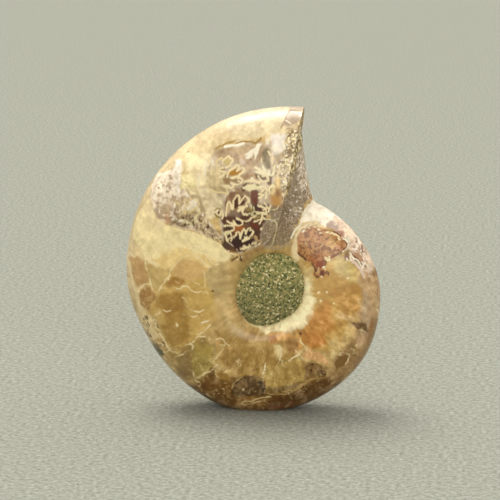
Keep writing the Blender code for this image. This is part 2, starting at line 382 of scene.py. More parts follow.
# Soft colour areas of the side, in paint order: display colour, softness and wander of the edge in
# mm, and the outline, right and up in turn from the middle of the view in mm
AREAS = (
    # ivory band along the outer edge, cream at the top and yellow inwards
    ((217, 194, 147), 1.2, 0.8, (-26, -2, -25, 6, -20, 16, -10, 26, 0, 30, 11, 31, 10, 25, 7, 20, 2.4,
        22.4, -1, 21.4, -3, 21.8, -6.8, 20.4, -9, 18, -12, 17, -16, 15, -19, 11, -20.4, 5, -22, 1)),
    ((212, 193, 153), 1.0, 0.6, (-6, 25.8, 0, 29, 9, 29.5, 8.4, 24.2, 2.6, 22.8, -3, 22.2)),
    ((238, 218, 172), 1.2, 0.8, (-12.6, 18.6, -6.8, 20, -5.4, 18.8, -8.6, 14, -9.2, 9, -11.8, 8.4, -13.4,
        14)),
    ((224, 206, 164), 0.8, 0.6, (-9.6, 13, -7, 12.6, -5, 10, -5.4, 7.6, -7.4, 6, -9.4, 6.8, -10, 9.6)),
    ((245, 230, 172), 0.7, 0.5, (-13.9, 15.2, -11, 15, -10.4, 13, -12, 12.3, -13.8, 12.4)),
    # mottled patch on the upper left, crisp against the smooth flank
    ((242, 224, 198), 0.3, 0.25, (-20, 10.8, -19.6, 13, -18.4, 15.4, -15.8, 16, -14.6, 13, -13.4, 11.8,
        -12.8, 12, -11.8, 11, -10.2, 10.6, -9.4, 8.6, -9.6, 7, -8.4, 5.6, -6, 3, -5.4, 2.3, -7.4, 2.3, -9,
        2.9, -12, 3.9, -14.6, 4.6, -16.8, 5.2, -17.6, 5.7, -18.2, 6.2, -18.8, 7.1, -19.2, 8, -19.7, 9.8)),
    ((252, 242, 222), 0.6, 0.4, (-15, 18, -13.9, 18, -14, 14, -13.6, 12, -14.4, 11.6, -15.2, 13, -15.6,
        15.4)),
    ((192, 168, 132), 0.7, 0.5, (-18.8, 8.4, -16.6, 9, -15.4, 10.4, -13, 11, -10.4, 10.4, -9.4, 8.6, -8.4,
        5.6, -5.6, 2.4, -7.4, 2.4, -12, 4, -15.6, 5, -17.6, 5.9, -18.6, 7.1)),
    ((122, 96, 64), 0.6, 0.5, (-15.6, 8.4, -13.4, 7, -10, 7, -9, 5.6, -6.2, 3, -7.4, 2.6, -12, 4.2, -15.2,
        5.2, -16, 6.6)),
    ((178, 152, 92), 0.4, 0.3, (-12.8, 8.6, -11.4, 9.4, -10.8, 8.8, -11.4, 8, -12, 7.2, -12.8, 7.2)),
    # window of sutures: mauve above, tan at the left, brown to maroon low, a painted highlight upper right
    ((198, 178, 148), 0.5, 0.4, (-7, 20, -2.4, 21.2, 2.4, 21.6, 5.6, 20.6, 7, 17, 7, 12, 6.2, 7, 5, 5, 3.2,
        1.4, 1.6, 0, -1, 0, -3, 0.6, -5.6, 2.4, -6, 6.2, -5.4, 9.4, -7.6, 12, -9, 14, -8, 17.4)),
    ((182, 156, 120), 0.7, 0.5, (-6.8, 20, 2.4, 21.4, 3.4, 18, 1, 17.8, -3, 17.6, -6.6, 18)),
    ((190, 162, 130), 0.6, 0.5, (-4, 19.6, 2, 17.6, 2, 15, 0, 14.4, -1, 16.6, -3, 17.6)),
    ((202, 180, 134), 0.8, 0.6, (-8.6, 15.6, -6, 17, -4.8, 14, -4.4, 12.4, -5.4, 11.8, -9, 12.6)),
    ((170, 136, 96), 0.6, 0.4, (-1, 15.4, 1.4, 15.6, 2.4, 14, -1.6, 14, -2, 14.8)),
    ((150, 120, 84), 0.5, 0.4, (-4.2, 12.6, 0, 11.8, 0.4, 10.4, -1.6, 11.2, -4, 10.8, -4.8, 10.6, -5, 9.6,
        -3.6, 10, -3, 12)),
    ((138, 122, 90), 0.4, 0.2, (3, 20.5, 3.9, 20, 4.1, 18, 4.2, 16.4, 3.4, 16.3, 2.6, 18, 2.4, 19.5)),
    # painted highlight: pale sheen of the polish on the upper flank, beside the dark streak
    ((230, 218, 200), 0.9, 0.5, (4.4, 23, 7, 23, 6.8, 19.4, 4.6, 19.2)),
    ((176, 154, 122), 0.5, 0.4, (4.8, 19, 6.6, 19, 6.4, 17, 5, 17)),
    ((126, 88, 54), 0.4, 0.3, (-5, 7.4, -5, 10.4, -3.8, 11.6, -2.4, 11.6, -0.8, 10.6, -0.2, 8.6, -0.4,
        7.4)),
    ((84, 44, 14), 0.6, 0.4, (-5.9, 6.6, -5, 7.2, -4.7, 6.8, -3.6, 7.9, -2, 8, 0, 8.2, 0.4, 11.8, 1.6, 12,
        1.9, 11, 1.4, 9.4, 3.2, 9.2, 4.1, 9, 4.2, 8, 3.2, 6, 2.7, 4.5, 2.3, 2.5, 2.2, 1.2, -0.5, 0.2, -2.5,
        -0.4, -4.6, -0.1, -5.7, 0.8, -5.2, 1.6, -4.9, 2.6, -5.5, 4, -5.3, 5.2)),
    ((116, 90, 68), 0.4, 0.3, (-4.6, 7.9, -2, 7.9, -1.5, 7, -2.4, 6.5, -4.6, 6.6)),
    ((196, 168, 124), 0.5, 0.3, (-4.7, 9.2, -4, 9.4, -3.7, 8.2, -4.2, 7.4, -4.8, 7.4)),
    ((166, 130, 78), 0.4, 0.2, (-2, -1, 2, 0.9, 3.4, 1.6, 3.2, 0.6, 1, -0.6, -1, -2.6, -2, -2.4)),
    # left flank: cream under the crisp arc, golden brown below it
    ((238, 218, 164), 0.3, 0.1, (-20.2, 10.4, -19.4, 8, -18.6, 6.5, -17.6, 5.5, -16.8, 5, -14.6, 4.4, -12,
        3.7, -9, 2.7, -5.8, 1.2, -4.6, 0, -3.6, -1.2, -5, -2.6, -7, -5, -9, -4.6, -13, -2.8, -18, -4,
        -20.4, -2.4, -22, 0, -23.6, 3, -22.6, 7, -21, 9.4)),
    ((236, 214, 166), 0.6, 0.4, (-20.2, 10.2, -19, 7, -17, 5, -17.6, 3.6, -20, 5, -21.6, 8)),
    ((228, 198, 132), 1.4, 1.0, (-20, -1.6, -13, 0.6, -6.4, -2.4, -7, -6, -12, -5, -18, -5.4)),
    ((200, 164, 90), 1.8, 1.2, (-20, -5, -14, -4.6, -9, -4, -7, -8, -7.6, -14, -10, -19, -14, -21, -17,
        -17, -19, -12)),
    ((168, 130, 58), 1.6, 1.0, (-18.6, -9.4, -13, -9.6, -12, -15, -13, -19.4, -16.6, -17)),
    ((170, 130, 68), 0.9, 0.6, (-17, -5.8, -14, -6, -13.4, -7, -16.6, -7.2)),
    ((204, 174, 116), 1.0, 0.6, (-7.6, -3, -4.4, -2.4, -3.6, -7, -2.8, -10, -2.4, -13.6, -4.6, -13.6, -6.4,
        -11, -7.6, -8)),
    ((192, 158, 100), 0.8, 0.5, (-3, -7, -2.2, -9, -1.2, -12, -0.8, -13.6, -2.6, -14.4, -4, -12, -4.2, -9)),
    ((228, 202, 150), 1.0, 0.8, (-25, 2, -21.6, 1, -21.2, -3, -21.4, -8, -20, -13, -18.4, -17, -20, -19,
        -23, -12, -24.8, -5)),
    ((200, 156, 98), 0.8, 0.5, (-23, -2, -21.2, -2.4, -20.6, -5.8, -22.4, -6.6)),
    # lower left and the foot
    ((156, 126, 66), 1.2, 1.0, (-16.4, -20.6, -7.6, -18, -5, -20, -7, -23, -3, -27, -10, -27.4, -14, -25)),
    ((174, 148, 72), 0.7, 0.6, (-11.2, -19, -7.8, -19, -6.8, -22.4, -10, -24.6, -11.2, -22.4)),
    ((194, 148, 86), 0.5, 0.4, (-6.8, -17.8, -5, -18, -4.1, -19.4, -5, -21, -6.4, -20.4)),
    ((162, 126, 58), 1.4, 1.2, (-7, -16, 8, -17, 11, -23, 4, -27, -3, -25, -4, -20)),
    ((126, 90, 32), 1.2, 1.0, (-8, -24.6, -3, -25, 4, -26, 14, -23.6, 17, -26, 14, -30, 4, -33, -6, -32,
        -10, -28)),
    ((190, 158, 86), 0.8, 0.6, (3.6, -24, 10, -24, 11, -26.4, 8, -28.4, 4, -28.4)),
    ((162, 146, 86), 0.7, 0.5, (6.5, -22.2, 10.5, -22, 10, -24, 7, -24.4)),
    ((112, 76, 26), 0.7, 0.5, (-13, -26.4, -9, -27, -4, -28.8, 3, -28.9, 8, -28.8, 11, -27, 15.6, -25.4,
        18, -25, 18, -31, 4, -35, -8, -34)),
    ((140, 100, 42), 0.7, 0.5, (-3, -30.4, 1, -29.8, 5, -29.9, 4, -31, 0, -31.4, -2.4, -31.2)),
    ((126, 66, 34), 0.5, 0.4, (4, -30.2, 9, -29.6, 9, -31, 4, -31.6)),
    # right side: golden orange, brown at the outer edge
    ((194, 152, 76), 1.4, 1.0, (10, -2.4, 15, -1, 21, -2.6, 22.6, -8, 20, -15, 15, -20, 10, -20, 8, -17,
        11, -14, 13, -8)),
    ((190, 142, 70), 1.0, 0.8, (16, -8, 22, -7, 22.4, -12, 18, -12.6)),
    ((190, 132, 54), 1.2, 0.8, (11.4, -13, 15.6, -10, 17, -16, 12, -20, 9, -19, 10, -16)),
    ((194, 158, 114), 1.2, 1.0, (21, -1, 26, -2, 27.4, -10, 25, -19, 19, -26, 16, -26, 17, -23, 20.4, -17,
        22.4, -10)),
    ((154, 120, 72), 1.2, 0.8, (16, -27, 16.4, -22, 20, -18, 23, -13, 27, -14, 22, -25)),
    ((186, 158, 122), 0.7, 0.6, (22.6, -9, 23.8, -8.4, 24.2, -13, 23, -18, 21.4, -18, 22.6, -13)),
    ((206, 180, 112), 1.0, 0.8, (15.4, -2.4, 18, -1.2, 21, -2.6, 22.2, -7, 20.4, -6, 17, -5)),
    ((206, 178, 118), 0.8, 0.6, (10.4, -3, 12.6, -3.6, 12.8, -6.4, 11.4, -8, 10.8, -5.6)),
    # pale ring on the umbilical slope: its cream colour, lightened by painted light where the slope faces
    # up to the lamps
    ((250, 234, 184), 1.0, 0.7, (-1.2, -12, -0.6, -13.4, 0.8, -14.6, 2.8, -15, 6.4, -13.6, 9.8, -11, 10.4,
        -8, 10.6, -5, 11.6, -6, 12.6, -8.6, 12.7, -10.4, 12.3, -12.6, 11.7, -14.6, 10.6, -15.6, 9, -16,
        7.4, -16.4, 6.2, -17, 4.6, -16.8, 3, -16.8, 2, -16, 0.4, -14.9, -1, -13.6)),
    ((208, 158, 88), 0.6, 0.5, (3.6, -16.8, 7.4, -16.6, 9.6, -17.4, 9.4, -20, 7.4, -19.4, 6.6, -18.2, 4.4,
        -18)),
    ((180, 134, 62), 0.5, 0.4, (6.8, -18.2, 9.2, -17.6, 9.4, -20, 7.8, -19.8)),
    # right top: cream wedge, lilac and pink edge, rust window
    ((250, 238, 214), 0.3, 0.15, (12.9, 10.4, 17, 8.4, 20.6, 5.6, 19, 4.4, 17, 5.4, 15, 4.4, 13.4, 5.8,
        10.6, 5.6, 10.2, 5.2, 10.6, 6.6, 11.6, 8.8)),
    ((228, 200, 172), 0.7, 0.5, (16.4, 6.6, 19.4, 6.4, 22.6, 3, 25.6, -3, 24, -5.4, 20.4, -2.4, 19.2, 0.4,
        17, 3.4)),
    ((192, 166, 150), 0.35, 0.3, (15.2, 5.4, 16.2, 5.9, 16.8, 5.4, 17.6, 5, 17.8, 4.2, 17, 3.8, 16.2, 4.1,
        15.4, 4.5)),
    ((184, 140, 116), 0.4, 0.3, (17, 3.9, 19, 3.9, 19, 2.4, 17.9, 2.7)),
    ((226, 204, 156), 0.35, 0.2, (8.8, 2.6, 10, 4.4, 11.2, 5.3, 12.6, 5.8, 14, 5.5, 15, 4.7, 14, 4.5, 12.4,
        4.9, 11, 4.4, 10.2, 3.6, 9.7, 2.4, 9.6, 0.4, 10.2, -1, 9.6, -2.4, 8.6, -2.6, 8.4, 0)),
    ((172, 112, 56), 0.35, 0.25, (9.6, 2.4, 10.8, 4.4, 12.4, 4.9, 14.4, 4.4, 15.2, 4.1, 16.4, 3.2, 17.5,
        2.9, 17.9, 2.3, 18.6, 2.1, 18.9, 1.6, 19.4, 0.9, 19.2, 0.5, 18.4, -0.2, 17.6, -0.8, 16.6, -1.4,
        16.2, -1.7, 15.9, -1.2, 15.1, -1.6, 15.2, -2.6, 14.8, -3.2, 14.6, -3.8, 15, -4.6, 15.2, -5.2, 14,
        -5.2, 13.1, -4.2, 12.8, -3.4, 12.3, -2.8, 11.2, -1.8, 10, -1, 9.6, -0.4)),
    ((168, 114, 56), 0.7, 0.5, (9.8, 1.2, 13, 1.2, 12.8, -0.8, 11.4, -1.4, 10, -0.9)),
    ((196, 150, 84), 0.7, 0.4, (15.6, 3, 17.6, 2.6, 17.8, 1, 16.4, 0, 15, 0.6)),
    ((186, 128, 84), 0.6, 0.4, (17.6, 1.8, 19.2, 1, 18.4, 0, 17, -0.4)),
    ((166, 114, 42), 0.4, 0.3, (14.8, 0.4, 16.8, 0.2, 17, -0.8, 15.4, -1.3)),
    ((156, 88, 26), 0.35, 0.3, (12, -1.2, 13.2, -0.6, 14.6, 0.4, 15, -0.8, 15, -2.6, 14.4, -3.4, 13.8,
        -3.9, 13.1, -3.6, 12.6, -2.8, 11.8, -2.2)),
    # end of the whorl: striped tip, strip of lavender grey, and the joint
    ((172, 150, 120), 0.5, 0.3, (6.4, 24.9, 6.9, 26.4, 7.6, 28, 8.6, 29.4, 11.4, 29.4, 11.2, 28, 10.6,
        26.6, 9.4, 25, 7.6, 24.6)),
    ((154, 134, 110), 0.4, 0.25, (8.2, 15.6, 9.2, 16.6, 10.2, 16, 10.6, 14, 11.6, 12, 12, 10.4, 10.9, 9.4,
        10.4, 7.6, 9.4, 5.4, 8, 2.4, 7.4, 1, 3, 0.4, 2.2, 1.2, 2.6, 4.4, 3.4, 6.4, 5, 9, 6.4, 10.8, 7.4,
        11, 7.9, 13)),
    ((255, 244, 228), 0.4, 0.3, (9.2, 20, 10.4, 22, 11.2, 21, 11.2, 15, 10.2, 15, 9.2, 16.6)),
    ((122, 98, 70), 0.6, 0.4, (5, 9, 7, 9.4, 8.4, 8, 6.8, 5.4, 5.4, 4.6, 4.4, 6.4)),
    ((194, 170, 128), 0.3, 0.2, (7.4, 23.6, 6.4, 19, 5.2, 17, 4.9, 15, 5, 12.4, 5.6, 9.6, 6.6, 9.3, 7.6,
        12.4, 8.1, 15, 9.3, 18.1, 10.7, 21.9, 10.8, 25.4, 9.6, 25.2, 8.4, 24.4)),
    ((140, 118, 84), 0.4, 0.2, (2.4, 1.2, 5, 0.8, 7.8, 1.6, 9, 4.6, 8, 6.4, 5, 8.4, 3.6, 6.4, 2.8, 4.4)),
    ((238, 222, 198), 0.3, 0.3, (9.3, 17.2, 10.6, 21.6, 11.1, 20, 11.2, 15, 11.8, 12.8, 10.4, 11.6, 9.7,
        13.8)),
    ((186, 162, 124), 0.3, 0.2, (2.4, 0.9, 5.4, 0.4, 8.2, 1.8, 8.4, 1, 5.4, -0.1, 3.2, 0.1)),
    ((172, 142, 82), 0.8, 0.4, (-5.6, -13.2, -1.8, -13.8, -1, -15.4, -1, -17.2, -5, -17.6)),
    ((168, 132, 66), 0.9, 0.6, (-6.4, -18, -1.4, -18, -1, -23.4, -6.6, -23.2)),
    # cells between the veins of the left flank
    ((190, 150, 94), 0.45, 0.3, (-24.2, -1.6, -22, -1.3, -21.2, -2.6, -20.6, -5.2, -20.4, -6.6, -21.4,
        -7.2, -22.8, -7.2, -23.6, -5)),
    ((172, 128, 70), 0.4, 0.3, (-22, -8, -20, -7.6, -19, -9.2, -20.2, -12, -22, -10.8)),
    ((200, 170, 106), 0.6, 0.4, (-20.4, -3.4, -15.7, -3.8, -16.5, -6, -18.7, -8.3, -19.8, -7, -20.2, -5)),
    ((214, 176, 112), 0.5, 0.3, (-15.2, -3.2, -13.6, -1.7, -10.8, -2.2, -8.8, -3.6, -8.9, -5.6, -12, -6,
        -15.4, -5.4)),
    ((168, 124, 56), 0.5, 0.4, (-16, -5.6, -13.2, -6.2, -13.4, -7, -14.8, -7.5, -16.2, -6.9)),
    ((166, 126, 56), 0.7, 0.4, (-18.6, -9, -13.6, -8.2, -12.8, -10, -13.6, -13, -16.4, -13.6, -18.6,
        -11.6)),
    ((188, 162, 108), 0.8, 0.3, (-8.2, -3.4, -5.4, -3, -4.8, -5, -5.2, -8.6, -7.4, -9.2, -8.6, -7, -8.7,
        -5)),
    ((240, 214, 160), 0.2, 0.1, (-16.6, -5.6, -16.2, -5.3, -16.1, -5.9, -16.5, -6.2)),
    ((160, 122, 52), 0.7, 0.4, (-17.8, -15, -14.6, -14.6, -13, -16.4, -13.4, -18.6, -15.4, -19.6, -16.8,
        -18)),
    # cells of the lower left
    ((166, 142, 72), 0.5, 0.4, (-11.4, -24.6, -11.3, -22.6, -11, -20.8, -10, -20.2, -8.4, -21, -7.3, -22.6,
        -7.1, -23.6, -8.2, -24.2, -9.4, -24.7, -10.4, -25.5, -11.1, -25.4)),
    ((144, 116, 66), 0.6, 0.4, (-14.8, -21.6, -12.6, -20.8, -11.6, -22, -11.9, -24.6, -12.6, -26, -14.2,
        -24.4)),
    ((122, 84, 30), 0.6, 0.4, (-10.6, -26.2, -8.6, -25, -6.6, -24.8, -4.4, -26.6, -4, -28.8, -8, -29.2,
        -10.8, -27.8)),
    ((166, 128, 60), 0.5, 0.3, (-6.8, -24.4, -5.4, -24.2, -4.2, -25, -4.4, -26.2, -5.8, -26, -6.8, -25.4)),
    ((92, 66, 32), 0.5, 0.3, (-3.6, -26.4, -2.6, -25.4, 0.4, -25, 2.2, -25.8, 3.3, -28.2, 2.8, -29, -2.4,
        -29.4, -3.8, -28.6)),
    ((132, 104, 66), 0.3, 0.3, (-3, -27, -1.6, -26, -0.4, -26.8, -1.2, -28, -2.6, -28)),
    ((66, 54, 38), 0.3, 0.2, (1.8, -26.2, 2.6, -26.4, 3.3, -28.4, 2.8, -28.6, 2, -27.6)),
    # lobe of shell on the lower right, with its darker rim, and the cells beside it
    ((180, 148, 78), 0.2, 0.1, (3, -25, 3.4, -23.4, 5, -23.2, 7, -22.4, 9.2, -21.8, 10.8, -22.3, 12.6,
        -22.1, 14, -22.9, 15.1, -23.9, 15.5, -25, 13.6, -25.5, 11.4, -26.3, 9.4, -27.7, 6, -28.8, 3.6,
        -28.7, 3, -27)),
    ((118, 88, 38), 0.5, 0.3, (3.4, -28.6, 6, -28.7, 9.2, -27.6, 11.2, -26.3, 9, -26.6, 6, -27.4, 3.6,
        -27.4)),
    ((132, 98, 50), 0.4, 0.3, (11.4, -22.4, 13.6, -22.8, 15.1, -24, 15.3, -25, 12.6, -25.6, 10.6, -26.2,
        11, -24.4)),
    ((92, 62, 30), 0.25, 0.2, (13.8, -24, 14.8, -24, 15.4, -24.8, 14.8, -25.2, 13.8, -24.8)),
    ((100, 66, 22), 0.4, 0.3, (3.4, -29.6, 8, -29.2, 10.4, -27.8, 12.6, -26.6, 15.4, -25.9, 16, -26.6, 14,
        -28.4, 11, -29.8, 7, -31, 3.4, -31.2)),
    ((136, 96, 38), 0.5, 0.5, (-2.4, -29.8, 1.2, -29.2, 3.6, -29.3, 4.6, -29.9, 3, -30.8, -0.8, -31, -2.6,
        -30.8)),
    ((122, 88, 46), 0.25, 0.15, (16.8, -22.4, 17.8, -21.4, 19.7, -20.9, 19.9, -21.6, 19.2, -22.7, 18.4,
        -23.3, 17.2, -23.2)),
    ((110, 78, 40), 0.4, 0.3, (20.4, -14.6, 21.6, -14.1, 23, -14.8, 23.8, -16.2, 22.2, -15.9, 21, -15.4)),
    ((178, 142, 104), 0.4, 0.3, (22.2, -16.4, 23.8, -16.8, 23.2, -18.6, 21.6, -19.6, 21, -18.2)),
    ((224, 186, 128), 0.4, 0.3, (17.4, -12.2, 19.4, -13, 21.2, -13.5, 20.6, -14.4, 18.6, -14, 17, -13.4)),
    ((190, 126, 52), 0.4, 0.3, (11, -16.8, 13, -16.3, 14.6, -17, 15.4, -18.8, 13.4, -19.4, 11.8, -19.6,
        11.2, -18.4)),
    ((208, 160, 104), 0.4, 0.3, (11.4, -19.6, 13.8, -20.4, 15.4, -22, 15.8, -23.6, 14.4, -22.6, 12.6,
        -21.8, 10.6, -21.6, 10.6, -20.6)),
    ((152, 108, 48), 0.25, 0.2, (6.9, -18.3, 8.2, -18.2, 9.6, -18.3, 9.8, -19.8, 9, -20.5, 7.4, -20.2)),
    ((170, 112, 48), 0.3, 0.3, (3.6, -17.4, 5, -17.2, 5.4, -18.4, 4.4, -18.8)),
)

# Painting: first colour, the broken end's colour on the back with its share, softness of the areas
# against the value in their table, how mottled the shell is where no outline says it, and the
# softness of those outlines
BASE_COLOUR = (198, 166, 104)
END_COLOUR = (168, 146, 116)
END_SHARE = 0.3
AREA_SOFTNESS = 0.6
BUSY_BASE = 0.5
BUSY_SOFTNESS = 0.8

# Mottling: its clouds and spots and its rays of growth as strength, size, seed and octaves, how the
# rays lie round and out from the middle of the coil, how far it lightens and darkens red, green and
# blue, and the tone that light spots lean to
MOTTLES = ((0.40, 2.6, 11, 5), (0.34, 0.7, 13, 3))
RAYS = ((0.30, 0.55, 15, 3),)
RAYS_ROUND = 14
RAYS_OUT = 0.22
LIGHTENED = np.array((0.75, 0.70, 0.62))
DARKENED = np.array((0.66, 0.80, 0.98))
LIGHT_TONE = (255, 238, 196)
LIGHT_TONE_SHARE = 0.28
MOTTLE_LIMIT = 0.8

# Markings: softness of their edges in mm, strength and widening, the short path of a spot, and the
# reach round a path within which it is painted
GHOST_AND_SHEEN_SOFTNESS = 0.2
GHOST_AND_SHEEN_STRENGTH = 0.72
GRAIN_STRENGTH = 0.9
VEIN_SOFTNESS = 0.1
STROKE_SOFTNESS = 0.08
WISP_SOFTNESS = 0.6
STROKE_WIDENING = 1.2
SPOT_SOFTNESS = 0.12
SPOT_LENGTH = (0.12, 0.05)
STROKE_REACH = 0.8
BEYOND_REACH = 9.0

# Display colours of the fine markings
SHADES = {
    "cream": (238, 216, 166), "white": (240, 228, 200), "gold": (228, 204, 146), "tan": (198, 162, 108),
    "straw": (216, 204, 152), "umber": (152, 120, 78), "brown": (116, 66, 20), "dark": (80, 38, 8),
    "black": (50, 16, 4), "maroon": (102, 40, 6), "amber": (172, 122, 40), "grey": (192, 174, 148),
    "mauve": (172, 146, 122), "pink": (222, 198, 176), "olive": (140, 116, 56), "crack": (156, 122, 54),
    "rust": (158, 88, 22), "yellow": (244, 226, 168),
}

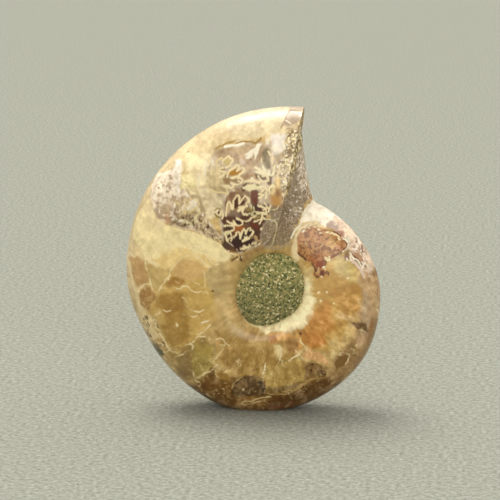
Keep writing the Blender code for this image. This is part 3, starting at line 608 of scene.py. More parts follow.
# Crisp patches: shade, softness of the edge in mm, and the outline as right and up in turn
PATCHES = (
    # golden frond, amber frond and the brown between their fingers
    ((206, 180, 116), 0.25, (-5.2, 17.2, -5.1, 17.9, -4.6, 18.3, -4.1, 18.3, -3.9, 17.6, -4.3, 17)),
    ("amber", 0.15, (-4.4, 15, -4, 15.7, -3.4, 16, -2.9, 16.4, -2.6, 16.2, -2.8, 15.7, -2.2, 15.8, -1.7,
        16, -1.7, 15.6, -2.2, 15.1, -3, 14.9, -3.8, 14.9)),
    ("umber", 0.25, (-5.6, 14.2, -4.6, 14.5, -3.9, 14.2, -2.3, 14.1, -2.2, 13.9, -2.4, 13.4, -3.2, 13.6,
        -3.9, 13.9, -4.3, 13.2, -4.7, 13.1, -5.2, 13.6)),
    ((228, 212, 164), 0.25, (-5.9, 13.1, -5, 13.1, -4.3, 12.9, -4.1, 12.5, -4.6, 12.2, -5.2, 12.4)),
    # white fronds at the top and on the right
    ("white", 0.12, (1, 20.4, 0.2, 20.1, -0.5, 19.5, -1.1, 19.15, -0.95, 18.9, -0.5, 18.95, -0.9, 18.6,
        -0.85, 18.2, -0.2, 18.2, 0.2, 18.5, 0.5, 18.9, 0.6, 19.3, 0.8, 19.4, 0.9, 18.9, 0.95, 18.3, 1.15,
        18.2, 1.3, 18.7, 1.6, 19.4, 1.9, 20.4, 2.3, 21.3, 1.4, 21.2)),
    ((120, 96, 70), 0.2, (1, 15.2, 1.5, 15, 2.2, 14.9, 3.2, 14.8, 3.4, 14.1, 2.6, 13.9, 1.9, 14.3, 1.2,
        14.2)),
    ((112, 84, 52), 0.2, (3.8, 14.8, 4.4, 14.6, 4.4, 13.2, 4.2, 12.9, 3.6, 13, 3.3, 13.4, 3.9, 13.8)),
    ((240, 226, 184), 0.1, (0.85, 16.65, 1.3, 16.75, 1.6, 16.45, 2, 16.4, 2.35, 16, 2.6, 15.9, 2.3, 16.6,
        2.4, 17.05, 2.65, 16.95, 2.95, 16.4, 3.3, 16, 3.4, 15.5, 3.6, 15.5, 3.75, 16, 3.95, 16, 4.05, 15.5,
        4.15, 15.1, 4.4, 15.2, 4.6, 15.8, 4.8, 16.6, 5, 16.6, 4.95, 15.6, 4.8, 14.9, 4.2, 14.8, 3, 15, 2.3,
        15.1, 1.7, 15.2, 1.2, 15.4, 0.85, 15.6, 0.9, 15.85, 1.7, 15.9, 1.3, 16.1, 0.95, 16.3)),
    ((236, 220, 170), 0.1, (-1.6, 12.35, -1, 12.8, -0.3, 13.05, 0.6, 13.15, 1.1, 13.1, 1.4, 12.75, 2, 12.9,
        2.9, 13, 2.9, 12.6, 2.3, 12.4, 1.9, 12.2, 1.5, 11.95, 1, 12.1, 0.4, 11.9, -0.1, 11.65, -0.5, 11.9,
        -0.9, 12.15, -1.4, 12.15)),
    # amber spot and the pale ring beside it
    ((184, 130, 40), 0.7, (5, 13, 5.4, 12.4, 6.1, 12.1, 6.3, 11, 6.4, 9.6, 6, 8.8, 4.6, 8.9, 4, 9.8, 4,
        10.8, 4.6, 11.1, 5.1, 11.5)),
    ((134, 88, 22), 0.45, (5.3, 12, 5.9, 12, 6, 10.9, 5.4, 10.6, 5.2, 11.2)),
    ((240, 206, 136), 0.45, (5.1, 14.8, 5.9, 14.4, 6.1, 13.2, 5.8, 12.4, 5.4, 12.5, 5.1, 13.2)),
    ((224, 194, 132), 0.2, (4.2, 11.2, 4.2, 12.4, 4.6, 12.8, 5, 12.4, 5, 11.4, 4.6, 11)),
    # brown and maroon of the lower part
    ((112, 64, 38), 0.3, (0.2, 11.9, 1.4, 12, 1.9, 11.2, 1.6, 10, 1.5, 9.3, 0.4, 9.2, 0.1, 10)),
    ("maroon", 0.3, (0.7, 10.4, 1.3, 10.4, 1.4, 9.4, 0.8, 9.3)),
    ("dark", 0.12, (-3.2, 8.3, -3.1, 9.9, -2.6, 10.5, -2.4, 10.2, -2.4, 9, -1.9, 9.6, -1.2, 9.9, -0.9, 9.6,
        -1.3, 9.2, -2, 8.9, -2.6, 8.5)),
    ("dark", 0.12, (-1.9, 10.5, -1.4, 10.8, -1.3, 10.5, -1.7, 10.1)),
    ("olive", 0.25, (-0.8, 8.4, 0.2, 8.4, 0.9, 8, 0.4, 7.6, -0.6, 7.7)),
    ((70, 32, 10), 0.15, (1.2, 9.3, 1.6, 8.8, 2.2, 8.2, 2.6, 7.95, 1.2, 7.85, 1, 8.4)),
    ((150, 130, 72), 0.2, (0.3, 6.6, 1.2, 6.9, 2.2, 6.8, 2, 6.4, 0.8, 6.2)),
    ("dark", 0.2, (-1.4, 6.8, -0.6, 6.8, -0.4, 6.4, -1.2, 6.3)),
    ((88, 48, 22), 0.3, (-5.6, 6.5, -4.6, 6.8, -3, 6.4, -3.1, 5.7, -4.5, 6, -4.9, 5.3, -5.6, 5.4)),
    ("black", 0.1, (-3.4, 5.7, -3, 5.9, -2.6, 6, -1.9, 5.6, -1.9, 5.2, -2.6, 5.2, -3, 5.5)),
    ("rust", 0.3, (-3.1, 4.9, -1.6, 5, -0.9, 4.6, -1.4, 4, -1.7, 3.2, -2.1, 3.8, -2.6, 3.7, -3.1, 3.4,
        -3.3, 4)),
    ("maroon", 0.3, (0, 5.5, 0.9, 5.4, 1.6, 5, 2, 4.2, 1.2, 4.2, 0.2, 4.7)),
    ((54, 26, 10), 0.12, (-5, 4.55, -4.4, 4.5, -3.6, 4.4, -3.5, 4.15, -4, 4.05, -4.8, 4.15)),
    ("black", 0.12, (-3.7, 1.5, -3.2, 2.4, -2.9, 2.8, -2.6, 3.5, -2.2, 3.5, -2, 2.5, -1.5, 2.6, -1.4, 3.7,
        -1.1, 3.9, -0.9, 3.2, -0.5, 3.6, -0.3, 4.2, 0, 4.1, -0.2, 3.7, 0.4, 3.8, 0.6, 3.6, 0.2, 3.1, -0.3,
        2.8, -1, 2.5, -0.5, 2, 0.2, 2.2, 0.9, 2.4, 1, 2, 0.3, 1.6, 0.2, 1.1, -0.6, 0.9, -1.3, 1, -2, 0.5,
        -2.4, -0.1, -3, 0.4, -3.5, 1.1)),
    ((82, 52, 34), 0.15, (-5.6, 0.9, -4.9, 1.6, -4.3, 1.4, -3.6, 0.9, -4, 0.3, -4.6, 0, -5.2, 0.4)),
    ((214, 204, 152), 0.1, (-5.4, 3.3, -5, 3.65, -4.3, 3.7, -3.7, 3.7, -3.9, 3.2, -4.5, 3, -5, 3)),
    ("black", 0.08, (-6.2, 7.95, -5.95, 7.6, -6.25, 7.1, -6.55, 7.4)),
    # rust window, its deep point, and the white star and brown patch at the edge
    ("maroon", 0.2, (14.1, -4.1, 14.7, -4.1, 15, -4.8, 14.5, -5.1, 13.9, -5)),
    ((140, 64, 16), 0.2, (13.2, -2.2, 14.9, -2.3, 14.5, -3.4, 13.7, -3.9, 13.2, -3.2)),
    ("white", 0.1, (19, 3.2, 19.3, 2.8, 19.6, 2.6, 19.9, 2.4, 19.9, 1.8, 20, 1.4, 19.8, 0.9, 19.5, 0.5,
        19.2, 0.1, 18.9, -0.1, 18.6, -0.5, 18.35, -0.2, 18.9, 0.1, 19.3, 0.6, 19.5, 1, 19.3, 1.4, 19, 1.9,
        18.5, 2.1, 18.7, 2.35, 19.1, 2.4)),
    ((178, 136, 100), 0.12, (20.4, -0.8, 21, -0.4, 21.6, -0.7, 22.4, -1.1, 22.6, -1.8, 22.8, -2.3, 22.4,
        -2.4, 22, -2.2, 21.6, -1.8, 21, -1.5, 20.6, -1.2)),
    ((150, 112, 92), 0.25, (18.8, -1.1, 19.6, -1.1, 19.7, -1.9, 19, -2.1)),
    # chip at the lower left, leaf and dark patches at the foot
    ((88, 76, 34), 0.3, (-19.3, -18.7, -18.4, -19.3, -17.6, -20.1, -17.1, -20.8, -17.6, -21.3, -18.8,
        -20.9, -19.8, -19.6)),
    ((126, 92, 42), 0.2, (17, -22.4, 17.8, -21.6, 19, -21.2, 20, -20.9, 20, -21.5, 19.5, -22.4, 19, -23.1,
        18.4, -23.2, 17.8, -23.4, 17.2, -23.8)),
    ("gold", 0.6, (5, -19.2, 5.8, -19.1, 6.3, -19.6, 6.4, -20.4, 6.2, -21.2, 5.6, -21.6, 5.2, -20.6)),
)

# Strokes: half-width in mm, shade, and the path as right and up in turn
STROKES = (
    # cracks under the ivory band, and the white line below
    (0.11, "crack", (-6.8, 20.3, -6.2, 20.7, -5.5, 20.9, -5, 21.2, -4.4, 21.5, -3.8, 21.6, -3, 21.9)),
    (0.15, "crack", (-2.7, 21.3, -2.2, 21.4, -1.5, 21.6, -0.5, 21.7, 0.3, 21.6, 0.9, 21.4, 1.1, 21.3, 1.4,
        21.6, 2, 22, 2.3, 22.4)),
    (0.18, "white", (-5, 20.7, -3.9, 20.9, -3, 20.9, -2.2, 21.1, -1.2, 21.3)),
    (0.1, "umber", (8.1, 28, 9.2, 27.9, 10.2, 27.7)),
    (0.08, "mauve", (8.8, 27.2, 10.2, 27)),
    (0.08, "white", (8.2, 27.7, 9.4, 27.5, 10.6, 27.6)),
    (0.1, "umber", (6.2, 24.4, 6.6, 25.2, 7, 26, 7.4, 27, 8, 27.9)),
    (0.1, "white", (7.1, 25.9, 7.7, 25.6, 8.2, 25.3)),
    (0.12, "mauve", (6.6, 25.3, 7.6, 25.1)),
    (0.2, "white", (10.2, 26.9, 10.4, 27)),
    # golden frond
    (0.15, "gold", (-6.6, 16.9, -6.8, 17.4, -6.5, 17.9, -6, 18.2, -5.6, 18.4)),
    (0.16, "cream", (-5.5, 17.2, -5.4, 17.8, -5, 18.2, -4.6, 18.6, -4.2, 18.8, -4, 18.4, -3.5, 18.2, -3.5,
        17.8, -3.8, 17.4, -4, 17, -4.3, 16.7, -4.8, 16.5)),
    (0.17, "cream", (-5.7, 16.3, -5.4, 16.5)),
    (0.16, "cream", (-5.9, 15.8, -5.2, 15.7, -4.7, 15.5)),
    (0.2, "cream", (-6.1, 14.5, -5.5, 14.8, -5.1, 15.2)),
    (0.12, "umber", (-5.6, 16.1, -5.1, 16.1)),
    (0.1, "olive", (-4.9, 15, -4.8, 14.6)),
    # amber frond
    (0.16, "cream", (-4.6, 14.6, -4.4, 15.3, -4.1, 15.8, -3.7, 16.1, -3.2, 16.4, -2.8, 16.8, -2.4, 17,
        -2.2, 16.6, -2.4, 16.2, -2.6, 15.8, -2.2, 16.1, -1.8, 16.4, -1.4, 16.5, -1.2, 16.2, -1.2, 15.8,
        -1.6, 15.4, -2, 15.1, -2.3, 14.8)),
    (0.22, "cream", (-3.8, 14.4, -3, 14.6, -2.3, 14.7)),
    (0.15, "cream", (-2.4, 14.3, -1.9, 14.4, -1.5, 14.1, -1.5, 13.8, -1.8, 13.4, -2.1, 13.2, -2.8, 13.1,
        -3.4, 13.2, -3.8, 13.5)),
    (0.14, "cream", (-2.4, 13.8, -2, 13.5)),
    (0.16, "cream", (-3.5, 13.3, -3.3, 12.9, -3.5, 12.5, -4, 12.4, -4.3, 12.8, -4.6, 12.9)),
    (0.15, "gold", (-4.7, 12.3, -4.5, 11.7, -4.4, 11.2, -4.9, 11.4, -5.6, 11.5, -6.4, 11.5, -7.2, 11.8,
        -7.9, 12)),
    # fronds on the right
    (0.16, "cream", (2.5, 14.8, 3.1, 14.9, 3.5, 14.5, 3.7, 14.1, 3.4, 13.8, 2.9, 13.7, 2.4, 13.8, 2, 14.2,
        1.7, 14.7)),
    (0.17, "white", (0.3, 14.3, 0.5, 14.3)),
    (0.2, "cream", (-1, 13.7, -0.2, 13.9, 0.6, 13.9, 1.3, 13.7, 1.9, 13.5)),
    (0.12, "dark", (-1.4, 12.9, -1, 13.1, -0.7, 13.4)),
    (0.08, "olive", (-0.5, 13.3, 0, 13.3, 0.6, 13.3)),
    (0.12, "dark", (-1.8, 12.4, -1.5, 12, -1.1, 11.9)),
    (0.13, "olive", (1.3, 13, 1.7, 12.9)),
    (0.2, "cream", (1.8, 11.2, 2.3, 11.2)),
    (0.2, "cream", (1.8, 10.4, 2.3, 10.7, 2.7, 11.1)),
    (0.2, "cream", (3.2, 10.4, 3.3, 11, 3.3, 11.4)),
    (0.14, "cream", (2.2, 12.3, 2.6, 12, 3, 11.6, 3.3, 11.3)),
    (0.15, "cream", (2.9, 12.8, 3.1, 12.3, 3.5, 11.8)),
    (0.12, "cream", (2.6, 11.9, 2.4, 11.5)),
    (0.08, "olive", (2.4, 11.3, 2.7, 11.5, 3, 11.8)),
    (0.14, "yellow", (4, 11.3, 3.9, 12, 4.1, 12.6, 4.5, 12.9, 4.9, 12.7)),
    (0.1, "umber", (4.1, 12.2, 4.2, 11.8)),
    (0.14, "cream", (3.7, 19.7, 4, 19.1)),
    (0.15, "cream", (4.5, 18.6, 4.4, 18.2)),
    (0.14, "cream", (4.3, 17.9, 4.5, 17.3)),
    (0.14, "cream", (5, 16.9, 4.7, 16.2, 4.7, 15.4)),
    (0.15, "cream", (6.1, 17.3, 5.8, 16.4, 5.8, 15.6, 5.5, 15)),
    (0.1, "cream", (2.3, 18.3, 2.3, 17.6)),
    (0.12, "cream", (7.3, 12, 7.1, 11.1, 6.9, 11, 6.5, 11.3)),
    # brown frond in the middle, the loop and the eye left of it
    (0.15, "cream", (-3.4, 8.2, -3.3, 9.1, -3.3, 9.8, -3, 10.3, -2.7, 10.8, -2.4, 11, -2.1, 10.6, -2.1,
        9.9, -2.2, 9.2, -1.8, 9.8, -1.4, 10.3, -1.1, 10.7, -0.8, 10.7, -0.5, 10.4, -0.2, 10.1, -0.1, 9.8,
        -0.5, 9.5, -0.8, 9.2, -0.6, 8.8)),
    (0.2, "cream", (-0.6, 8.7, -1.3, 8.6, -2.2, 8.5)),
    (0.24, "cream", (-1.2, 8.4, -2.3, 7.9)),
    (0.16, "cream", (-1.1, 8.5, -1.6, 7.6)),
    (0.14, "cream", (-4.8, 6.8, -4.8, 7.6, -4.6, 8.8, -4.3, 9.6, -4, 9.4, -3.8, 8.8, -3.7, 8.1)),
    (0.2, "cream", (-3.6, 8.9, -3.6, 8.2)),
    (0.11, "cream", (-6.1, 8.1, -6.6, 8, -6.8, 7.6, -6.7, 7.2, -6.3, 7)),
    (0.15, "cream", (-5.6, 7.9, -5.7, 7.4, -6.1, 6.8)),
    (0.16, "cream", (-5.3, 7.3, -5.4, 6.8, -5.6, 6.3)),
    (0.12, "olive", (-6.9, 8, -6.5, 8.3, -5.9, 8.1)),
    (0.14, "olive", (-7, 7.2, -6.6, 6.8, -6.2, 6.6)),
    # star on the right and the lines across the middle
    (0.2, "cream", (1.6, 8.9, 2.4, 8.6, 3.2, 8.3)),
    (0.15, "cream", (2.9, 9.4, 3.3, 8.8, 3.8, 8.1, 3.7, 7.7)),
    (0.13, "cream", (4.1, 8.9, 3.9, 8.2)),
    (0.2, "cream", (1.4, 7.5, 2.5, 7.4, 3.2, 7.2)),
    (0.13, "cream", (2.6, 8, 3.2, 8, 3.3, 7.4)),
    (0.25, "tan", (3.5, 6.7, 3.9, 6.7)),
    (0.2, "cream", (-1.4, 7.2, -0.5, 7.1)),
    (0.13, "straw", (-0.4, 7.2, 0.3, 7.3, 0.9, 7.7, 1.3, 7.5)),
    (0.13, "straw", (0.3, 7, 1, 7, 1.8, 7.2, 2.6, 7)),
    (0.22, "cream", (-2.6, 6.3, -2.2, 6.1)),
    (0.14, "cream", (-2.2, 6.1, -1.5, 5.9, -0.7, 5.8, -0.1, 6, 0.3, 6.4, 1, 6.8)),
    (0.16, "cream", (0.9, 5.7, 1.6, 5.9, 2.2, 6.2, 2.4, 6.7)),
    (0.15, "cream", (1.9, 5.3, 2.2, 5.9, 2.5, 6.2)),
    (0.13, "cream", (2.4, 6.9, 2.6, 6.5, 3, 6.2)),
    (0.12, "straw", (0.2, 9, 0.3, 8.4)),
    (0.12, "straw", (0.7, 8.6, 0.8, 8.2)),
    # frond at the lower left
    (0.17, "cream", (-4.6, 5.8, -3.9, 5.4, -3.3, 5.2)),
    (0.14, "cream", (-3.3, 5.8, -3, 5.4, -2.8, 5.1)),
    (0.16, "cream", (-5.2, 4.8, -4.3, 4.9, -3.5, 4.9)),
    (0.15, "cream", (-3.6, 5.1, -2.9, 5, -2.2, 4.9, -1.7, 5, -1.5, 5.5, -1.7, 5.9, -2.1, 6.1)),
    (0.14, "cream", (-3.5, 4.9, -3.1, 4.5, -3.2, 4.1, -3.6, 3.9, -4.3, 3.7, -4.8, 3.6)),
    (0.14, "cream", (-4.9, 3.1, -4.7, 2.6, -4.6, 1.9)),
    (0.16, "cream", (-4.2, 2.3, -4.5, 1.8)),
    (0.12, "cream", (-3.8, 3.3, -3.7, 2.8, -4, 2.3)),
    (0.15, "cream", (-3.3, 2.7, -3.6, 2.3, -3.8, 1.8)),
    (0.13, "black", (-4.4, 2.6, -4.1, 2.9)),
    (0.08, "grey", (-4.4, 1.6, -3.9, 1.2, -3.4, 0.8)),
    # dark frond at the bottom
    (0.14, "cream", (-3.2, 2.5, -2.9, 2.9, -2.7, 3.4, -2.4, 3.6, -2.1, 3.4, -2.1, 3, -1.9, 2.5)),
    (0.2, "cream", (-1.7, 3.2, -1.9, 2.4)),
    (0.14, "cream", (-1.7, 3.2, -1.5, 3.8, -1.2, 4.1, -1, 3.9, -0.9, 3.6)),
    (0.17, "cream", (-0.8, 3.8, -0.8, 3.3)),
    (0.13, "cream", (-0.8, 3.6, -0.5, 4, -0.3, 4.3, 0, 4.4, 0.1, 4.2, 0, 3.9, 0.4, 4, 0.7, 3.7, 0.6, 3.4,
        0.3, 3, 0, 2.7)),
    (0.16, "cream", (0, 2.6, -0.5, 2.5, -1, 2.5)),
    (0.2, "cream", (-0.3, 2.3, -0.9, 2.1, -1.4, 1.8)),
    (0.12, "tan", (0, 2.5, 0.6, 2.6, 1, 2.7, 1.4, 2.5)),
    (0.13, "cream", (0.4, 1.3, 0.9, 1.5, 1.3, 1.6)),
    (0.13, "tan", (1, 2.2, 1.6, 1.9, 2.2, 1.7)),
    (0.13, "cream", (-1.3, 0.8, -0.9, 0.6, -0.3, 0.6, 0.2, 0.7, 1, 0.9, 1.9, 1.2)),
    (0.12, "cream", (-0.2, 1.1, 0.1, 0.7)),
    (0.14, "cream", (-1.9, 0.2, -1, 0.3, -0.4, 0.5)),
    (0.12, "grey", (-1.3, -0.5, -2.1, -0.5, -2.4, -0.2, -2.7, 0.1)),
    (0.17, "cream", (2.2, 4.2, 2.4, 4.4)),
    (0.14, "cream", (-4.3, -0.2, -4.1, -0.6, -3.6, -0.8, -2.9, -0.9)),
    (0.12, "dark", (-2.4, -0.2, -1.6, -0.2, -0.7, -0.1)),
    (0.13, "brown", (-4, -0.3, -3.5, -0.3, -3, -0.3)),
    (0.16, "dark", (-3.6, -2, -3.1, -1.7, -2.5, -1.4)),
    (0.1, "cream", (-2.6, -2, -2, -1.8, -1.6, -1.4)),
    (0.12, "dark", (-2, -1.9, -1.7, -2, -2, -1.2)),
    # thin veins beside the window
    (0.07, "straw", (2.8, 6.1, 3.8, 6.1, 4.8, 5.9, 5.3, 5.3, 5.4, 4.4, 5.1, 3.4, 4.9, 2.4, 4.6, 1.5, 4.3,
        1)),
    (0.07, "straw", (3.9, 8, 4.7, 8, 5.4, 8.3, 5.8, 8.9)),
    # rust window: frilled upper line, hooks inside, spikes and dark point
    (0.18, "white", (8.2, 2.4, 9, 3.9, 9.8, 4.8, 10.2, 5.2, 10.4, 6.2, 10.8, 7.4, 11.6, 8.8, 13, 10.2)),
    (0.16, "cream", (15.3, 3.5, 15.7, 3.6)),
    (0.15, "cream", (16, 3.2, 16.2, 3.3)),
    (0.15, "cream", (16.4, 3.5, 16.8, 3.1, 17.4, 3, 17.8, 2.7, 17.7, 2.3, 18, 2)),
    (0.15, "cream", (13.6, 4.1, 13.9, 4.1)),
    (0.12, "cream", (13.1, 4.6, 12.8, 4.6)),
    (0.12, "cream", (14, 3.3, 14.2, 3.4)),
    (0.12, "cream", (11.7, 4.5, 11.9, 4.3)),
    (0.15, "white", (10.6, 3.7, 10.8, 3.9)),
    (0.1, "tan", (12.9, 2.3, 13.1, 1.9, 13.5, 1.6)),
    (0.1, "tan", (11.1, 1.6, 11.3, 1.1, 11.5, 0.9)),
    (0.12, "tan", (14.1, 0.6, 14.5, 1, 14.7, 1.2)),
    (0.1, "brown", (16.4, 3.8, 16.8, 3.6, 17.4, 3.4, 18, 2.9, 18.1, 2.6)),
    (0.1, "brown", (18.8, 1.9, 19.2, 1.4, 19.4, 0.9, 19.1, 0.4, 18.4, -0.1, 18.2, -0.4, 17.6, -0.8, 17,
        -1.1, 16.2, -1.6)),
    (0.14, "dark", (12.4, -2.7, 12.8, -3.3, 13.1, -3.9, 13.1, -4.3)),
    (0.12, "dark", (11.2, -2.1, 10.8, -1.5, 10.2, -1.1, 9.7, -0.6)),
    (0.12, "brown", (14.8, -2.1, 15.2, -2.5, 15, -3, 14.6, -3.3)),
    (0.12, "brown", (15.4, -4.2, 15.7, -4.6, 15.7, -5)),
    (0.12, "brown", (12.9, -4.6, 13.1, -5.1, 13.2, -5.5)),
    (0.14, "cream", (15, -1.4, 15.3, -1.6, 15.1, -1.9)),
    (0.14, "cream", (15.8, -1.3, 15.9, -1.7, 15.5, -2.1)),
    (0.13, "cream", (15.6, -2.2, 16.1, -2)),
    (0.17, "white", (14.6, -3.5, 14.8, -3.4)),
    (0.12, "cream", (14.9, -3.8, 15.1, -3.9)),
    (0.13, "cream", (14.2, -5.3, 14.4, -5.3)),
    (0.13, "tan", (13.7, -3.6, 13.7, -4.6)),
    (0.1, "brown", (20.4, -0.7, 20.6, -1.2, 21.1, -1.5, 21.7, -1.9, 22, -2.4, 22.4, -3)),
    (0.12, "white", (20.2, -0.7, 20.4, -1.3, 21, -1.8, 21.5, -2, 21.9, -2.6, 22.2, -3.1, 22.6, -3.2, 22.9,
        -2.7)),
    (0.12, "white", (19.4, -1.7, 19.5, -2)),
    (0.22, "pink", (20.6, -2.2, 21.4, -3, 22.2, -4, 22.7, -5, 22.9, -5.6)),
)

# Veins, drawn like strokes but thinner in places and broken
VEINS = (
    (0.16, "cream", (-24.2, -0.5, -23.4, -1.1, -22.6, -1.2, -22, -0.9, -21.6, -1.3, -21.1, -2, -20.9, -2.8,
        -20.3, -2.8)),
    (0.13, "cream", (-20.9, -2.8, -20.8, -3.6, -20.5, -4.4, -20.2, -5, -20.1, -5.8, -20, -6.6, -19.8, -7.3,
        -19.6, -7.9)),
    (0.15, "cream", (-19.7, -8, -19.2, -8.4, -18.7, -8.6, -18.2, -8.1, -17.8, -7.6, -17.3, -7.5, -16.7,
        -7.6)),
    (0.13, "cream", (-18, -7.7, -17.4, -6.9, -16.9, -6.2, -16.4, -5.6, -16, -5.2, -16.1, -4.6, -15.9, -4,
        -15.5, -3.6, -15, -2.9, -14.6, -2.5, -14.2, -2, -13.7, -1.6, -13, -1.3, -12.3, -1.2)),
    (0.13, "cream", (-15.2, -7.3, -14.5, -7.7, -14, -7.7, -13.6, -7.3, -13.1, -7.2, -12.6, -7.2, -12.2,
        -7.6, -11.8, -8, -11.2, -8.4, -10.5, -8.5, -9.8, -8.3, -9.1, -8.4)),
    (0.15, "cream", (-10.9, -0.9, -10.3, -1.6, -9.8, -2.1, -9.2, -2.7, -8.6, -3.1, -8.1, -3.3, -7.5, -3.3)),
    (0.15, "cream", (-9.4, -0.7, -8.6, -1.6, -8, -2.1, -7.4, -2.7, -6.9, -3, -6.4, -2.9)),
    (0.12, "cream", (-8.4, -0.2, -7.6, -1, -6.9, -1.6, -6.3, -2.2)),
    (0.14, (244, 226, 170), (-14.6, 3.8, -13.6, 3, -12.4, 2.2, -11, 1, -9.8, 0)),
    (0.14, (244, 226, 170), (-12.2, 3.3, -10.6, 2.2, -9, 0.8, -7.6, -0.4, -6.7, -1.4)),
    (0.12, (244, 226, 170), (-10.4, 2.6, -9, 1.5, -7.6, 0.4, -6.6, -0.6)),
    (0.12, (244, 226, 170), (-17.4, 4.4, -16, 2.8, -14.6, 1.6, -13, 0.6)),
    (0.11, "gold", (-11.7, -6, -10.9, -6.6, -10, -6.9)),
    (0.14, "gold", (-13.4, -9.5, -12.8, -10.2, -12.2, -11)),
    (0.12, "cream", (-12.4, -11.2, -11.9, -11.8, -11.2, -12.2, -10.3, -12.4, -9.8, -12.2, -9.3, -11.9)),
    (0.12, "cream", (-22, -7.4, -21.5, -7.1, -20.9, -6.8, -20.2, -6.9)),
    (0.12, "cream", (-18.9, -13, -18.3, -12.9, -18, -12.4)),
    (0.1, "cream", (-17.2, -12.1, -16.6, -12.4, -15.9, -12.2)),
    (0.1, "cream", (-13.6, -12.9, -12.6, -13, -11.4, -13.3, -10.6, -13.1)),
    (0.14, "cream", (-24.3, -2.6, -23.9, -4.4, -23.5, -6, -23.1, -7.6, -22.7, -9, -22.3, -10.2, -21.9,
        -11.4, -21.5, -12.6, -20.9, -13.8, -20.4, -15)),
    (0.1, "cream", (-23.9, 1.6, -23.6, 0.4, -23.8, -0.8)),
    (0.14, "gold", (-9.2, -4.2, -9.1, -5.4, -9, -6.6, -8.8, -7.8, -8.4, -8.8)),
    (0.14, "cream", (-15, -21.4, -14.1, -21.2, -13.4, -20.8, -13, -20.4, -12.4, -20.1, -11.8, -20.2, -11.5,
        -19.8, -11.4, -19.2, -12, -19)),
    (0.13, "cream", (-13, -19, -12, -18.8, -11.3, -18.4, -10.9, -17.8, -10.3, -17.3, -9.7, -17.4, -9,
        -17.4)),
    (0.13, "cream", (-10.6, -17, -9.6, -16.5, -9, -16, -8.4, -15.6, -7.9, -14.9)),
    (0.14, "cream", (-11.3, -24.5, -11.1, -25.4, -10.5, -25.6, -10.1, -25.4, -9.5, -25, -9, -24.6, -8.4,
        -24.3, -7.8, -24.1, -7.4, -23.9, -7, -23.4, -6.5, -23)),
    (0.11, "cream", (-11, -25.6, -10.7, -26.2, -10.1, -26.3, -9.9, -26.8, -10.3, -27.2)),
    (0.12, "gold", (-7.3, -22.4, -6.6, -21.4, -5.8, -20.5, -5.3, -19.6)),
    (0.13, "cream", (-20, -14, -19.3, -14.1, -18.9, -14.6, -18.6, -15.4, -18.2, -16)),
    (0.13, "cream", (-18.1, -16.6, -17.6, -17.2, -17.2, -18, -16.8, -18.8, -16.4, -19.4, -16, -20, -15.6,
        -20.3)),
    (0.1, "cream", (-17.2, -20.4, -16.6, -20.3, -15.8, -19.6)),
    (0.11, "cream", (-14.6, -14.6, -14.5, -15.4)),
    (0.09, "cream", (-17.2, -22.2, -16, -23.8, -14.8, -25.4, -13.2, -26.8, -11.4, -28)),
    (0.13, "gold", (-1.7, -30.6, -0.6, -30.2, 0.4, -30.2, 1.4, -29.8, 3, -29.5, 4.2, -29.4)),
    (0.1, "gold", (-1.2, -31, 0.6, -30.7, 2.2, -30.2)),
    (0.11, "cream", (3.1, -22.6, 2.9, -24, 2.6, -25, 2.8, -26)),
    (0.12, "umber", (6.2, -18, 7, -18.3, 7.3, -17.7, 8.2, -18.2, 8.8, -18.2, 9.6, -18)),
    (0.11, "cream", (8.2, -21.8, 8.8, -21.4, 9.3, -21.1, 9.9, -21, 10.1, -20.2)),
    (0.11, "cream", (10, -18.2, 10.5, -18.8, 10.9, -19.4, 11.3, -20.3)),
    (0.12, "cream", (25.2, -11.6, 25.7, -12.6, 25.4, -13.5)),
    (0.12, (160, 100, 60), (24.6, -13.8, 24.2, -15.4, 24, -16.6)),
    (0.12, (160, 100, 60), (25.6, -8, 25.4, -9.4, 25.7, -10.6)),
    (0.14, "white", (-9.5, -14.6, -9, -14.4, -8.2, -14.1)),
    (0.12, "cream", (-6.6, -17.8, -5.9, -17.7, -5.3, -17.9, -5, -18.4, -4.6, -18.9, -4.1, -19.2)),
    (0.14, "cream", (7.8, -22.2, 8.4, -21.6, 9.2, -21.1, 9.9, -20.8, 10.2, -20.4)),
    (0.11, "cream", (9.2, -20.2, 9.8, -20.6, 10.2, -21.2, 10.6, -21.6)),
    (0.09, "gold", (10, -17.4, 10.3, -18.4, 10.8, -19.2, 11, -20)),
    (0.12, "cream", (5, -19.2, 5.8, -19.1, 6.3, -19.6, 6.4, -20.4, 6.3, -21.2, 5.8, -21.8)),
    (0.11, "tan", (3.4, -28.6, 4.2, -29, 5.4, -29, 7, -28.9, 8.2, -28.5, 9.6, -27.8, 10.6, -26.9, 11.6,
        -26.2, 13, -25.8, 14.6, -25.6, 15.4, -25.2, 15.6, -24.8)),
    (0.12, "dark", (4, -29.3, 5.4, -29.2)),
    (0.1, "tan", (-3.6, -27.8, -3.2, -26.6, -2.4, -25.9, -1.6, -25.5)),
    (0.1, "umber", (0.4, -24, 1, -24.9, 1.6, -25.4, 2.4, -25.8, 3, -26.8)),
    (0.1, "cream", (20, -21.2, 19.6, -22.2, 19, -23)),
)

